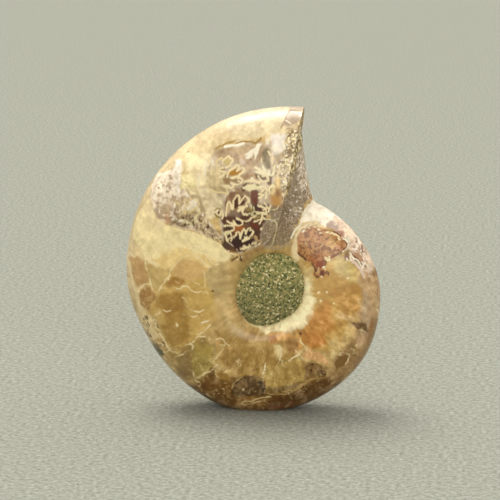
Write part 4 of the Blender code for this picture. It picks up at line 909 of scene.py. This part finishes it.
# Small spots: half-width in mm, shade and the places
SPOTS = (
    (0.1, (252, 246, 232), (11, 13.4, 10.2, 12.4, 11.2, 14.6, 10.7, 12.8, 8, 8, 8.6, 10.8, 9.4, 9.6, 8.2,
        9.4, 9.8, 10.6, 10, 8.4, 11.4, 11.8, 9, 12, 8.4, 6.4, 7, 7.4, 9.2, 7)),
    (0.1, (168, 104, 52), (11.8, 11, 12.2, 12, 12.4, 10.8, 11.6, 12.4, 10.8, 11, 12, 10.2)),
    (0.18, "cream", (16.6, -10.6, 14.2, -10.2, 13.6, -8.6, 15.4, -8.4, 3, -23.2, 2.7, -24.6, 2.9, -24,
        -20.2, -14.2, -19.9, -15.4, -19.2, -14, -14.5, -15.2, -1.5, -28, 19.4, -5.6)),
    (0.2, "dark", (12.1, -24.1, 12.5, -22.9, 10, -16.7, -7.6, -8.3, -13.3, 6.3, -13.1, 5, -14.5, 5.3)),
    (0.22, "mauve", (-16.1, 14.9, -15.8, 14.4, -16.1, 12.5, -16.6, 11.6, -15.5, 10.8, -18.3, 12.4, -18.6,
        9.4, -12.3, 19.6)),
)

# Soft frills and shadows of sutures showing through the shell, and spots of painted highlight: half-width,
# shade, path
GHOSTS_AND_SHEEN = (
    (0.32, (168, 146, 102), (-12.6, 11.8, -11.8, 11, -11, 10.9, -10.2, 10.6, -10, 9.6, -9.6, 8.8, -9.4, 8,
        -9.8, 7.2)),
    (0.35, (150, 124, 60), (-11.8, 7.8, -11, 7.5, -10.4, 7.3)),
    (0.3, (136, 112, 76), (-15.2, 8, -14.8, 7, -14.3, 6.4, -13.6, 6.4, -12.8, 6.4, -12.2, 6.8)),
    (0.3, (130, 106, 74), (-15.8, 5.3, -15, 5.8, -14.2, 5.4, -13.4, 5)),
    (0.35, (168, 142, 116), (-19, 8, -18.4, 7.2, -17.8, 6.4)),
    (0.3, (188, 138, 96), (-16.7, 7.2, -16.6, 6.4, -16.5, 5.6)),
    (0.2, "gold", (-12.9, 7.2, -13.1, 8.2, -12.9, 9, -13.3, 9.6, -13, 10.2)),
    (0.22, "gold", (-12, 10.4, -11.4, 10.3, -10.9, 10.3, -10.5, 9.9, -10.3, 9.2, -10.5, 8.6, -10.9, 8.4)),
    (0.2, "gold", (-11.8, 7.8, -11.2, 8.2, -10.7, 8.5)),
    (0.2, "gold", (-13.9, 7, -13.4, 7.4, -13.2, 7.9)),
    (0.18, "gold", (-12.4, 9, -12.3, 9.6, -12.7, 10.2)),
    (0.2, "gold", (-10.9, 6.3, -10.7, 6.9, -10, 7.5, -10.2, 8)),
    (0.22, "pink", (-16, 9.6, -15.6, 8.8, -15.4, 8, -15.8, 7.2, -15.4, 6.6)),
    (0.18, "gold", (-14.8, 9.8, -14.2, 9.2, -13.9, 8.4, -13.5, 8)),
    (0.18, "pink", (-14.5, 11.2, -14.3, 10.4)),
    (0.2, "pink", (-16.8, 11.6, -16.2, 11, -15.8, 10.6)),
    (0.2, "straw", (-11.6, 5.9, -11, 6.3, -10.8, 7)),
    (0.25, "straw", (-13.2, 5.7, -12.2, 5.6, -11.6, 5)),
    (0.22, "white", (-9.2, 16.6, -9.1, 15.4, -9.3, 14.6)),
    (0.2, "white", (-10.3, 15.2, -10.2, 14, -10.3, 13)),
    (0.25, "cream", (-7.6, 16.6, -7.7, 15.8, -7.7, 15.2)),
    (0.25, "white", (-7.5, 18, -7.4, 17.2)),
    (0.2, "white", (-8.9, 17.6, -8.3, 17)),
    (0.2, "cream", (-8.6, 14.6, -8.4, 14.3)),
    (0.4, "pink", (-1.8, 17.8, -1.2, 17.5)),
    # painted highlights: soft white spots of sheen on the polish of the upper flank
    (0.35, "white", (3.5, 22, 3.5, 21.4)),
    (0.4, "white", (4.8, 20.4, 5, 20)),
    (0.45, "white", (5.8, 20.4, 6, 19.8)),
    (0.3, "white", (6.8, 20.8, 6.9, 20.4)),
)

# Granular parts: dark and light display colour, grain size in mm, softness, and the outline
GRAINY = (
    ((186, 160, 128), (240, 224, 196), 0.9, 0.5, (-19.6, 9, -19.2, 12.4, -18.2, 14.8, -15.8, 15.2, -14.4,
        12.4, -12.4, 11.4, -10.2, 10.2, -9, 7, -6.2, 3, -8.6, 3, -12, 4.4, -15, 5.4, -17.6, 6.4, -18.8,
        7.6)),
    ((112, 86, 56), (204, 178, 134), 0.5, 0.4, (-12.6, 6.6, -10, 7, -9, 5.8, -6.2, 2.8, -7.6, 2.8, -10,
        3.6, -12.6, 4.4, -15.4, 5.3, -15.6, 6.4, -14, 7)),
    ((136, 114, 88), (186, 168, 144), 0.3, 0.3, (7.9, 13, 8.4, 15.4, 9.4, 18, 10.8, 21.6, 11.2, 16, 10.8,
        13, 12, 10.6, 10.9, 9.2, 9.8, 5.6, 8.2, 2.6, 6.2, 1.2, 3.2, 0.8, 2.4, 1.4, 2.8, 4.4, 4, 6.8, 6.4,
        9)),
    ((122, 96, 62), (250, 240, 216), 0.4, 0.15, (7.6, 23.6, 6.8, 19, 5.4, 17, 5.1, 15, 5.2, 12.4, 5.8, 9.8,
        6.5, 9.6, 7.4, 12.4, 7.9, 15, 9.1, 18.1, 10.5, 21.9, 10.6, 25.2, 9.6, 25, 8.6, 24.2)),
    ((122, 94, 48), (242, 224, 172), 0.55, 0.5, (7.2, 24.4, 8.4, 24.2, 9.4, 24.8, 10, 26, 10.6, 26, 10.6,
        22, 10.2, 20, 9.4, 17.4, 8.8, 15, 8.1, 14, 7.9, 12, 7.4, 11, 6.4, 10.8, 6.3, 12, 6.2, 14, 6.2, 16,
        6.5, 17.6, 6.4, 19, 7, 20.5, 7.2, 22)),
    ((96, 74, 36), (222, 196, 140), 0.45, 0.25, (13.2, 10.2, 12.4, 9.9, 11.2, 9.2, 10.6, 8, 10.2, 6.6, 9.6,
        5.4, 8.6, 3.4, 7.9, 2, 8.2, 1.6, 9, 3, 10.2, 4.8, 10.6, 6, 11, 7.6, 12, 8.9)),
    ((150, 110, 74), (248, 234, 214), 0.45, 0.4, (10.6, 14.8, 11.4, 14.6, 12.4, 12.4, 13.2, 10.8, 12.4,
        9.8, 11.2, 10.8, 10.4, 12.4)),
    ((96, 70, 38), (214, 190, 146), 0.5, 0.3, (-11.6, 5.6, -10.6, 6.4, -9.4, 6.2, -8.4, 5.4, -7.4, 4.4, -6,
        3, -5.2, 2.2, -5.8, 1.4, -7.4, 2.2, -8.6, 2.9, -10, 3.4, -11.2, 4.2)),
    ((110, 84, 40), (226, 200, 146), 0.7, 0.4, (-21.8, -13, -19.6, -13.2, -18.4, -15, -17.4, -17, -16.8,
        -19.4, -17.4, -20.8, -18.6, -19.6, -19.9, -18, -21, -16)),
    ((130, 80, 38), (196, 144, 84), 0.35, 0.7, (9.8, 1, 10, 3, 10.9, 4.2, 12, 4.8, 13.2, 4.7, 14.6, 4.3,
        16.4, 3.6, 18, 2.4, 19.2, 0.8, 18.4, -0.4, 16.4, -1.6, 14.6, -1.4, 12.4, -1.6, 11, -1.6, 9.8,
        -0.6)),
    ((84, 40, 12), (190, 124, 56), 0.4, 0.3, (12.9, -3.9, 15.2, -3.9, 15.9, -5, 15, -5.6, 13.2, -5.6, 12.7,
        -4.8)),
    ((96, 72, 42), (142, 112, 70), 0.5, 0.3, (-3.6, -27.8, -3, -26.4, -2.2, -25.8, -0.4, -25.4, 0.6, -25.1,
        1.8, -25.2, 2.6, -25.9, 3.1, -26.8, 3.3, -28.4, 2.4, -28.7, 0, -28.5, -2.6, -28.7)),
    ((118, 88, 46), (162, 128, 76), 0.5, 0.4, (10.4, -22.4, 13, -22.2, 14.6, -23.4, 15.7, -24.6, 15.2,
        -25.4, 13.4, -25.4, 11.4, -24.6)),
    ((130, 96, 70), (250, 232, 212), 0.6, 0.6, (18.4, -0.8, 20, 0.2, 21, 2, 20.4, 4.4, 22, 3, 23.2, 0,
        23.6, -3, 22.8, -4.4, 21, -2.6, 19.4, -2.2)),
)

# Crinkled wisps: spacing in mm, seed, thickness, strength, display colour, and where they lie
CRACKLE = (
    (1.5, 61, 0.10, 0.5, (246, 226, 168), ((-25, 2, -21, 1, -19, -3, -20, -9, -17, -17, -13, -19, -9, -17,
        -5, -18, -3, -22, 2, -20, 6, -18, 9, -22, 12, -30, 4, -34, -8, -32, -16, -25, -22, -16), (17, -18,
        20, -12, 23, -4, 27, -4, 27, -12, 24, -20, 18, -26, 13, -27),)),
    (0.9, 71, 0.12, 0.4, (232, 206, 142), ((-20, -6, -8, -6, -7, -12, -9, -16, -14, -20, -20, -12), (-24.6,
        0, -21, 0, -20, -8, -18, -17, -22, -15), (-16, -22, -4, -20, 6, -24, 14, -22, 16, -28, 0, -32, -10,
        -28),)),
    (0.8, 81, 0.18, 0.6, (240, 224, 190), ((-20, 9, -18, 15, -13, 15, -9, 12, -6, 4, -9, 3.4, -16, 5.6),
        (8, 6, 11, 20, 11, 4), (16, 6, 20, 6, 25, -2, 25, -8, 22, -5, 19, 1),)),
    (0.9, 91, 0.15, 0.5, (96, 62, 30), ((-12, -22, 4, -22, 14, -23, 20, -18, 18, -26, 4, -32, -8, -28),
        (12, 5, 19, 4, 23, -4, 18, -1, 13, 2), (-19, 8, -16, 12, -10, 10, -6, 3, -9, 3.4, -16, 5.6),)),
)

# How mottled the shell is: amount and outline
BUSY = (
    (0.35, (-26, 4, -20, 10, -17, 5, -8, 2, -5, -2, -4, -12, -8, -16, -14, -21, -20, -16)),
    (0.9, (-20, 11, -18, 16, -14, 16, -9, 10, -5, 2, -9, 3, -17, 5.4)),
    (0.7, (-8, 20, 2, 21, 7, 17, 6, 6, 2, 0, -5, 2, -9, 12)),
    (0.95, (9.6, 2, 11, 4.6, 15, 4.4, 19.4, 1, 16, -2, 14.4, -5.4, 12.6, -3, 9.6, -0.6)),
    (0.9, (16, 6.4, 21, 5, 25, -2, 26, -8, 22.6, -6, 19, -1.6, 18, 3)),
    (0.5, (-20, 17, -12, 25, -6, 28, 1, 29.4, 9, 29.4, 7, 23, 0, 22, -9, 20)),
    (0.8, (-13, -25, -4, -19, 4, -16, 12, -16, 20, -8, 24, -10, 22, -22, 14, -30, -4, -32)),
    (0.6, (-1.2, -12, 0.8, -14.2, 6.4, -13, 10, -8, 10.6, -5, 12.8, -9, 12.4, -13, 9, -16.6, 3, -17.2, 0,
        -15)),
)


def side_coordinates(points, place, side, broken):
    """Pattern coordinates: as the camera sees the front. The back's are turned round the coil."""
    mirrored = points * np.array((1, -side, 1))
    flat = seen(mirrored)
    if side < 0:
        return flat
    centre = seen(np.array(((COIL_X, 0, COIL_HEIGHT),)))[0]
    share = eased(place[:, 2] / half_thickness(np.clip(place[:, 0], 0, 360)), *BACK_TURN_SHARES)
    turn = -BACK_TURN * share * (1 - broken)
    size = GROWTH_PER_TURN ** (np.degrees(turn) / 360)
    away_x, away_y = (flat - centre).T
    turned = np.stack((away_x * np.cos(turn) - away_y * np.sin(turn),
                       away_x * np.sin(turn) + away_y * np.cos(turn)), -1)
    return centre + turned * size[:, None]


def shade_of(shade):
    """Scene-linear colour of a named shade or a display colour."""
    return linear(SHADES.get(shade, shade) if isinstance(shade, str) else shade)


def close_to(flat, corners, margin):
    """Indices of the points within a margin of the box round some corners."""
    low, high = corners.min(axis=0) - margin, corners.max(axis=0) + margin
    return np.flatnonzero(np.all((flat > low) & (flat < high), axis=1))


def lay(colour, chosen, share, shade):
    """Blends a shade into the colours of the chosen points."""
    colour[chosen] += (shade - colour[chosen]) * share[:, None]


def paint_outline(colour, flat, shade, softness, outline):
    """Fills an outline with a shade."""
    corners = np.array(outline, float).reshape(-1, 2)
    chosen = close_to(flat, corners, softness)
    depth = inside(flat[chosen], corners)
    lay(colour, chosen, eased(depth, -softness, softness), shade)


def paint_stroke(colour, flat, shade, width, path, softness, strength):
    """A stroke along a smooth curve. Width and strength may differ from point to point."""
    corners = curve(np.array(path, float).reshape(-1, 2))
    chosen = close_to(flat, corners, STROKE_REACH)
    nearest = np.full(len(chosen), BEYOND_REACH)
    for a, b in zip(corners, corners[1:]):
        nearest = np.minimum(nearest, away(flat[chosen], a, b))
    depth = width[chosen] - nearest
    lay(colour, chosen, eased(depth, -softness, softness) * strength[chosen], shade)


def paint_grain(colour, flat, points, dark, light, size, softness, outline):
    """Crumbly mixture of a dark and a light shade within an outline."""
    corners = np.array(outline, float).reshape(-1, 2)
    chosen = close_to(flat, corners, softness)
    share = eased(inside(flat[chosen], corners), -softness, softness)
    lumps = noise(points[chosen] / MM, size * 1.2, seed=41, octaves=2)
    crumbs = noise(points[chosen] / MM, size * 0.8, seed=44, octaves=2)
    lay(colour, chosen, share * eased(-lumps, 0.0, 0.35) * GRAIN_STRENGTH, linear(dark))
    lay(colour, chosen, share * eased(crumbs, 0.15, 0.5) * GRAIN_STRENGTH, linear(light))


def pair(at, size, seed, octaves=3):
    """Two noises side by side, to move pattern coordinates by."""
    return np.stack((noise(at, size, seed, octaves), noise(at, size, seed + 1, octaves)), -1)


def mottled(at, flat, wander):
    """Clouds, spots and rays of growth mixed, from about -1 to 1."""
    out = flat - seen(np.array(((COIL_X, 0, COIL_HEIGHT),)))
    turn = np.arctan2(out[:, 1], out[:, 0])
    ray = np.stack((turn * RAYS_ROUND + 0.5 * wander[:, 0], np.hypot(*out.T) * RAYS_OUT), -1)
    return layered(at, MOTTLES) + layered(ray, RAYS)


def paint_wisps(colour, at, flat, wander):
    """Thin crinkled wisps along the zero lines of a noise."""
    for size, seed, thickness, strength, shade, outlines in CRACKLE:
        crinkled = flat + 0.5 * wander + 0.12 * pair(at, 0.5, seed + 1, 2)
        ridge = np.abs(noise(crinkled, size, seed, 2))
        kept = eased(noise(at, 1.6, seed + 3, 3), -0.05, 0.35)
        where = np.zeros(len(flat))
        for outline in outlines:
            corners = np.array(outline, float).reshape(-1, 2)
            where = np.maximum(where, eased(inside(flat, corners), -WISP_SOFTNESS, WISP_SOFTNESS))
        line = eased(ridge, thickness, 0.3 * thickness) * kept * where * strength
        colour += (linear(shade) - colour) * line[:, None]


def paint(points, flat, broken, side):
    """Colour of each point of the shell."""
    at = points / MM
    wander = pair(at, 1.7, seed=1, octaves=4)
    colour = np.tile(linear(BASE_COLOUR), (len(points), 1))
    for shade, softness, wandering, outline in AREAS:
        moved = flat + wander * wandering
        paint_outline(colour, moved, linear(shade), softness * AREA_SOFTNESS, outline)
    if side > 0:
        end = linear(END_COLOUR) * (1 + 0.25 * noise(at, 0.9, seed=8))[:, None]
        colour += (end - colour) * broken[:, None] * END_SHARE

    # soft mottling, stronger in the windows and weaker on the smooth flank
    busy = np.full(len(points), BUSY_BASE)
    for amount, outline in BUSY:
        corners = np.array(outline, float).reshape(-1, 2)
        share = eased(inside(flat, corners), -BUSY_SOFTNESS, BUSY_SOFTNESS)
        busy += (amount - busy) * share
    mixed = mottled(at, flat, wander) * busy
    light = np.clip(mixed, 0, MOTTLE_LIMIT)[:, None]
    dark = np.clip(-mixed, 0, MOTTLE_LIMIT)[:, None]
    colour *= 1 + light * LIGHTENED
    colour += (linear(LIGHT_TONE) - colour) * light * LIGHT_TONE_SHARE
    colour *= 1 - dark * DARKENED

    # grain, sutures under the surface, spots of painted highlight and crisp patches, each with its edges a
    # little moved
    fine = flat + 0.07 * pair(at, 0.6, seed=5, octaves=2)
    loose = flat + 0.16 * pair(at, 1.3, seed=25)
    uneven = 1 + 0.35 * noise(at, 0.8, seed=7, octaves=2)
    even = np.ones(len(points))
    for dark, light, size, softness, outline in GRAINY:
        paint_grain(colour, fine, points, dark, light, size, softness, outline)
    # sutures under the surface, and the spots of painted highlight among them
    for width, shade, path in GHOSTS_AND_SHEEN:
        strength = even * GHOST_AND_SHEEN_STRENGTH
        paint_stroke(colour, loose, shade_of(shade), width * uneven, path, GHOST_AND_SHEEN_SOFTNESS, strength)
    for shade, softness, outline in PATCHES:
        paint_outline(colour, fine, shade_of(shade), softness, outline)

    # wisps, veins that break up, and the crisp strokes and spots on top
    paint_wisps(colour, at, flat, wander)
    broken_up = eased(noise(at, 1.0, seed=53, octaves=2), -0.75, 0.1)
    for width, shade, path in VEINS:
        widths = width * (0.6 + 0.5 * broken_up) * uneven
        strength = 0.25 + 0.6 * broken_up
        paint_stroke(colour, loose, shade_of(shade), widths, path, VEIN_SOFTNESS, strength)
    for width, shade, path in STROKES:
        widths = STROKE_WIDENING * width * uneven
        paint_stroke(colour, fine, shade_of(shade), widths, path, STROKE_SOFTNESS, even)
    for width, shade, places in SPOTS:
        for place in np.array(places, float).reshape(-1, 2):
            path = (place, place + SPOT_LENGTH)
            paint_stroke(colour, loose, shade_of(shade), width * uneven, path, SPOT_SOFTNESS, even)
    return np.clip(colour, 0, 1)


def shell_part(name, side, start, end, columns, rows):
    """Part of one side of the shell between two places along it, from umbilicus to outer edge."""
    last_row = WALL_ROWS + SLOPE_ROWS + FLANK_ROWS
    slope_steps = rows // 10
    across = np.concatenate((
        np.linspace(1, WALL_ROWS, WALL_STEPS, endpoint=False),
        np.linspace(WALL_ROWS, WALL_ROWS + SLOPE_ROWS, slope_steps, endpoint=False),
        np.linspace(WALL_ROWS + SLOPE_ROWS, last_row, rows - slope_steps - WALL_STEPS)))
    along = np.linspace(start, min(end, 1), columns)
    if end > 1:
        along = np.concatenate((along[:-1], np.linspace(1, 2, END_STEPS)))
    grid = np.stack([axis.ravel() for axis in np.meshgrid(along, across, indexing="ij")], -1)
    place, hollow = shell_place(grid[:, 0], grid[:, 1])
    points = spiral_points(place, side)
    broken = eased(grid[:, 0], *BROKEN_FADE[0]) * eased(grid[:, 0], *BROKEN_FADE[1])
    chips = np.maximum(layered(points / MM, CHIPS) + CHIP_BASE, 0)
    chips = MM * chips * broken * eased(hollow, 0, CHIP_HOLLOW)
    points[:, 0] -= hollow + chips
    points[:, 2] = np.maximum(points[:, 2], 0)
    first = np.arange(len(points)).reshape(len(along), len(across))
    corners = [first[:-1, :-1], first[1:, :-1], first[1:, 1:], first[:-1, 1:]]
    faces = np.stack([corner.ravel() for corner in corners], -1)
    if side > 0:
        faces = faces[:, ::-1]
    mesh = bpy.data.meshes.new(name)
    mesh.from_pydata(points, [], faces)
    mesh.shade_smooth()
    mesh.set_sharp_from_angle(angle=SHARP_EDGE)
    flat = side_coordinates(points, place, side, broken)
    add_attribute(mesh, "tint", paint(points, flat, broken, side))
    add_attribute(mesh, "broken", broken)
    piece = bpy.data.objects.new(name, mesh)
    bpy.context.scene.collection.objects.link(piece)
    return piece


def add_attribute(mesh, name, values):
    """Stores a number or a colour for each vertex."""
    if values.ndim == 1:
        mesh.attributes.new(name, "FLOAT", "POINT").data.foreach_set("value", values.astype(np.float32))
        return
    rgba = np.concatenate((values, np.ones((len(values), 1))), axis=1).astype(np.float32)
    mesh.attributes.new(name, "FLOAT_COLOR", "POINT").data.foreach_set("color", rgba.ravel())


class Shader:
    """Node tree with short calls for its nodes. An input is a number, a colour or a node's output."""

    def __init__(self, name):
        self.material = bpy.data.materials.new(name)
        self.material.use_nodes = True
        self.tree = self.material.node_tree
        self.main = self.tree.nodes["Principled BSDF"]

    def add(self, kind, inputs, **settings):
        made = self.tree.nodes.new(kind)
        for title, value in settings.items():
            setattr(made, title, value)
        for title, value in inputs.items():
            self.set(made, title, value)
        return made

    def set(self, node, title, value):
        socket = node.inputs[title]
        if isinstance(value, bpy.types.NodeSocket):
            self.tree.links.new(value, socket)
        elif socket.type == "RGBA":
            socket.default_value = (*value, 1)
        else:
            socket.default_value = value

    def attribute(self, name, output):
        return self.add("ShaderNodeAttribute", {}, attribute_name=name).outputs[output]

    def noise(self, size, detail=3, roughness=0.55, shift=0.0):
        place = self.add("ShaderNodeTexCoord", {}).outputs["Object"]
        moved = self.add("ShaderNodeVectorMath", {0: place, 1: (shift, shift, shift)}).outputs[0]
        inputs = {"Vector": moved, "Scale": 1 / size, "Detail": detail, "Roughness": roughness}
        return self.add("ShaderNodeTexNoise", inputs).outputs["Fac"]

    def range(self, value, low, high, to_low=0.0, to_high=1.0):
        inputs = {"Value": value, "From Min": low, "From Max": high}
        inputs.update({"To Min": to_low, "To Max": to_high})
        return self.add("ShaderNodeMapRange", inputs).outputs["Result"]

    def math(self, operation, a, b=0.0, c=0.0):
        return self.add("ShaderNodeMath", {0: a, 1: b, 2: c}, operation=operation).outputs[0]

    def mix(self, share, a, b, blend="MIX"):
        made = self.add("ShaderNodeMix", {0: share, 6: a, 7: b}, data_type="RGBA", blend_type=blend)
        return made.outputs[2]

    def bump(self, height, strength, distance):
        inputs = {"Height": height, "Strength": strength, "Distance": distance}
        return self.add("ShaderNodeBump", inputs).outputs["Normal"]


def shell_material():
    """Polished shell: the painted colours with fine mottling, and a rough broken end."""
    shader = Shader("polished_shell_look")
    broken = shader.attribute("broken", "Fac")
    cloud = shader.noise(SHELL_CLOUD_SIZE, 5, 0.6)
    grain = shader.noise(SHELL_GRAIN_SIZE, 4, 0.6, shift=0.3)
    tint = shader.attribute("tint", "Color")
    tint = shader.mix(1.0, tint, shader.mix(cloud, *SHELL_CLOUD), "MULTIPLY")
    lift = shader.math("MULTIPLY_ADD", grain, 2.0, -1.0)
    lift = shader.math("MULTIPLY_ADD", lift, shader.range(broken, 0, 1, *SHELL_GRAIN), 1.0)
    tint = shader.add("ShaderNodeVectorMath", {0: tint, 1: lift}, operation="MULTIPLY").outputs[0]
    shader.set(shader.main, "Base Color", tint)
    polish = shader.range(grain, 0.3, 0.7, *SHELL_POLISH)
    shader.set(shader.main, "Roughness", shader.math("MULTIPLY_ADD", broken, BROKEN_ROUGHNESS, polish))
    shader.set(shader.main, "IOR", 1.5)
    shader.set(shader.main, "Specular IOR Level", 0.36)
    shader.set(shader.main, "Coat Weight", shader.range(broken, 0, 1, *SHELL_COAT))
    shader.set(shader.main, "Coat Roughness", 0.16)
    height = shader.math("MULTIPLY", grain, shader.range(broken, 0, 1, *SHELL_RELIEF))
    shader.set(shader.main, "Normal", shader.bump(height, *SHELL_BUMP))
    return shader.material


def sandstone_material():
    """Grey-green sandstone: grains of green, dark, ochre and cream."""
    shader = Shader("sandstone_look")
    place = shader.add("ShaderNodeTexCoord", {}).outputs["Object"]
    cells = shader.add("ShaderNodeTexVoronoi", {"Vector": place, "Scale": 1 / SAND_GRAIN})
    pick = shader.add("ShaderNodeSeparateColor", {"Color": cells.outputs["Color"]}).outputs[0]
    ramp = shader.add("ShaderNodeValToRGB", {"Fac": pick})
    elements = ramp.color_ramp.elements
    while len(elements) < len(SAND_COLOURS):
        elements.new(0.5)
    for element, (position, shade) in zip(elements, SAND_COLOURS):
        element.position = position
        element.color = (*linear(shade), 1)
    cloud = shader.noise(SAND_CLOUD_SIZE, 4)
    height = shader.add("ShaderNodeSeparateXYZ", {0: place}).outputs[2]
    lowest, highest = COIL_HEIGHT - SAND_HALF_HEIGHT, COIL_HEIGHT + SAND_HALF_HEIGHT
    paler = shader.range(height, lowest, highest, *SAND_PALER)
    shade = shader.mix(cloud, *SAND_CLOUD)
    colour = shader.mix(1.0, ramp.outputs["Color"], shade, "MULTIPLY")
    colour = shader.add("ShaderNodeVectorMath", {0: colour, 1: paler}, operation="MULTIPLY").outputs[0]
    shader.set(shader.main, "Base Color", colour)
    shader.set(shader.main, "Roughness", 0.85)
    height = shader.math("MULTIPLY", cells.outputs["Distance"], -1)
    shader.set(shader.main, "Normal", shader.bump(height, *SAND_BUMP))
    return shader.material


def matrix_face(name, side):
    """Grainy face of the sandstone in one umbilicus."""
    form = bmesh.new()
    bmesh.ops.create_grid(form, x_segments=PLUG_STEPS, y_segments=PLUG_STEPS, size=1)
    square = np.array([vertex.co[:2] for vertex in form.verts])
    share = np.abs(square).max(axis=1)
    minor = np.abs(square).min(axis=1) / np.maximum(share, 1e-9) * math.pi / 4
    steep = np.abs(square[:, 1]) > np.abs(square[:, 0])
    direction = np.where(steep, math.pi / 2 - minor, minor)
    x = share * np.cos(direction) * np.sign(square[:, 0])
    y = share * np.sin(direction) * np.sign(square[:, 1])
    grown = np.degrees(NOTCH_DIRECTION - np.arctan2(y, x)) % 360
    radius = (umbilicus_radius(grown) + SAND_OVERLAP) * share
    level = matrix_level(grown) + PLUG_DOME * (1 - share)
    points = spiral_points(np.stack((grown, radius, level), -1), side)
    points[:, 1] += side * MM * layered(points / MM, SAND_RELIEF)
    for vertex, point in zip(form.verts, points):
        vertex.co = point
    if side < 0:
        bmesh.ops.reverse_faces(form, faces=form.faces)
    mesh = bpy.data.meshes.new(name)
    form.to_mesh(mesh)
    form.free()
    mesh.shade_smooth()
    piece = bpy.data.objects.new(name, mesh)
    bpy.context.scene.collection.objects.link(piece)
    return piece


def floor():
    """Plain pale floor with a faint fine grain."""
    shader = Shader("floor_look")
    grain = shader.range(shader.noise(FLOOR_GRAIN, 5, 0.75), 0.3, 0.7)
    dark, light = FLOOR_COLOURS
    shader.set(shader.main, "Base Color", shader.mix(grain, linear(dark), linear(light)))
    shader.set(shader.main, "Roughness", 0.95)
    shader.set(shader.main, "Specular IOR Level", 0.1)
    bpy.ops.mesh.primitive_plane_add(size=FLOOR_SIZE, location=(0, 0, 0))
    made = bpy.context.object
    made.name = "floor"
    made.data.materials.append(shader.material)


def sun(name, turn, rise, strength, softness, colour):
    """A soft light from that turn to the right of the front and rise over the ground."""
    light = bpy.data.lights.new(name, "SUN")
    light.energy = strength
    light.angle = math.radians(softness)
    light.color = colour
    made = bpy.data.objects.new(name, light)
    made.rotation_mode = "QUATERNION"
    direction = direction_from(math.radians(turn), math.radians(rise))
    made.rotation_quaternion = direction.to_track_quat("Z", "Y")
    bpy.context.scene.collection.objects.link(made)


def studio():
    """Camera, lights and sky."""
    camera = bpy.data.cameras.new("camera")
    camera.lens = LENS
    camera.sensor_width = SENSOR
    camera.clip_start = 0.01
    camera.clip_end = 20
    made = bpy.data.objects.new("camera", camera)
    made.location = CAMERA_PLACE
    made.rotation_mode = "QUATERNION"
    made.rotation_quaternion = CAMERA_BACK.to_track_quat("Z", "Y")
    bpy.context.scene.collection.objects.link(made)
    bpy.context.scene.camera = made
    sun("key", *KEY_LIGHT)
    sun("fill", *FILL_LIGHT)
    world = bpy.data.worlds.new("surroundings")
    world.use_nodes = True
    tree = world.node_tree
    background = tree.nodes["Background"]
    background.inputs["Color"].default_value = (1, 1, 1, 1)
    place = tree.nodes.new("ShaderNodeTexCoord")
    parts = tree.nodes.new("ShaderNodeSeparateXYZ")
    brightness = tree.nodes.new("ShaderNodeMapRange")
    tree.links.new(place.outputs["Generated"], parts.inputs[0])
    tree.links.new(parts.outputs["Z"], brightness.inputs["Value"])
    behind = tree.nodes.new("ShaderNodeMath")
    behind.operation = "MULTIPLY_ADD"
    tree.links.new(parts.outputs["Y"], behind.inputs[0])
    behind.inputs[1].default_value = SKY_BEHIND
    behind.inputs[2].default_value = SKY_EVEN
    total = tree.nodes.new("ShaderNodeMath")
    total.operation = "MULTIPLY"
    tree.links.new(brightness.outputs["Result"], total.inputs[0])
    tree.links.new(behind.outputs[0], total.inputs[1])
    for title, value in SKY.items():
        brightness.inputs[title].default_value = value
    tree.links.new(total.outputs[0], background.inputs["Strength"])
    bpy.context.scene.world = world
    bpy.context.scene.view_settings.view_transform = "Standard"


def make_fossil():
    """Every shown piece of the fossil, each riding on the body and standing for its solid."""
    polished = shell_material()
    parts = [(name, -1, *place) for name, *place in FRONT_PARTS]
    parts.append(("shell_back", 1, 0.0, 2.0, BACK_COLUMNS, BACK_ROWS))
    for part in parts:
        piece = shell_part(*part)
        piece.data.materials.append(polished)
        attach(piece, "root")
        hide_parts("ammonite_shell")
    sandstone = sandstone_material()
    for name, side in (("umbilicus_matrix_front", -1), ("umbilicus_matrix_back", 1)):
        piece = matrix_face(name + "_face", side)
        piece.data.materials.append(sandstone)
        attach(piece, "root")
        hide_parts(name)


studio()
floor()
make_fossil()
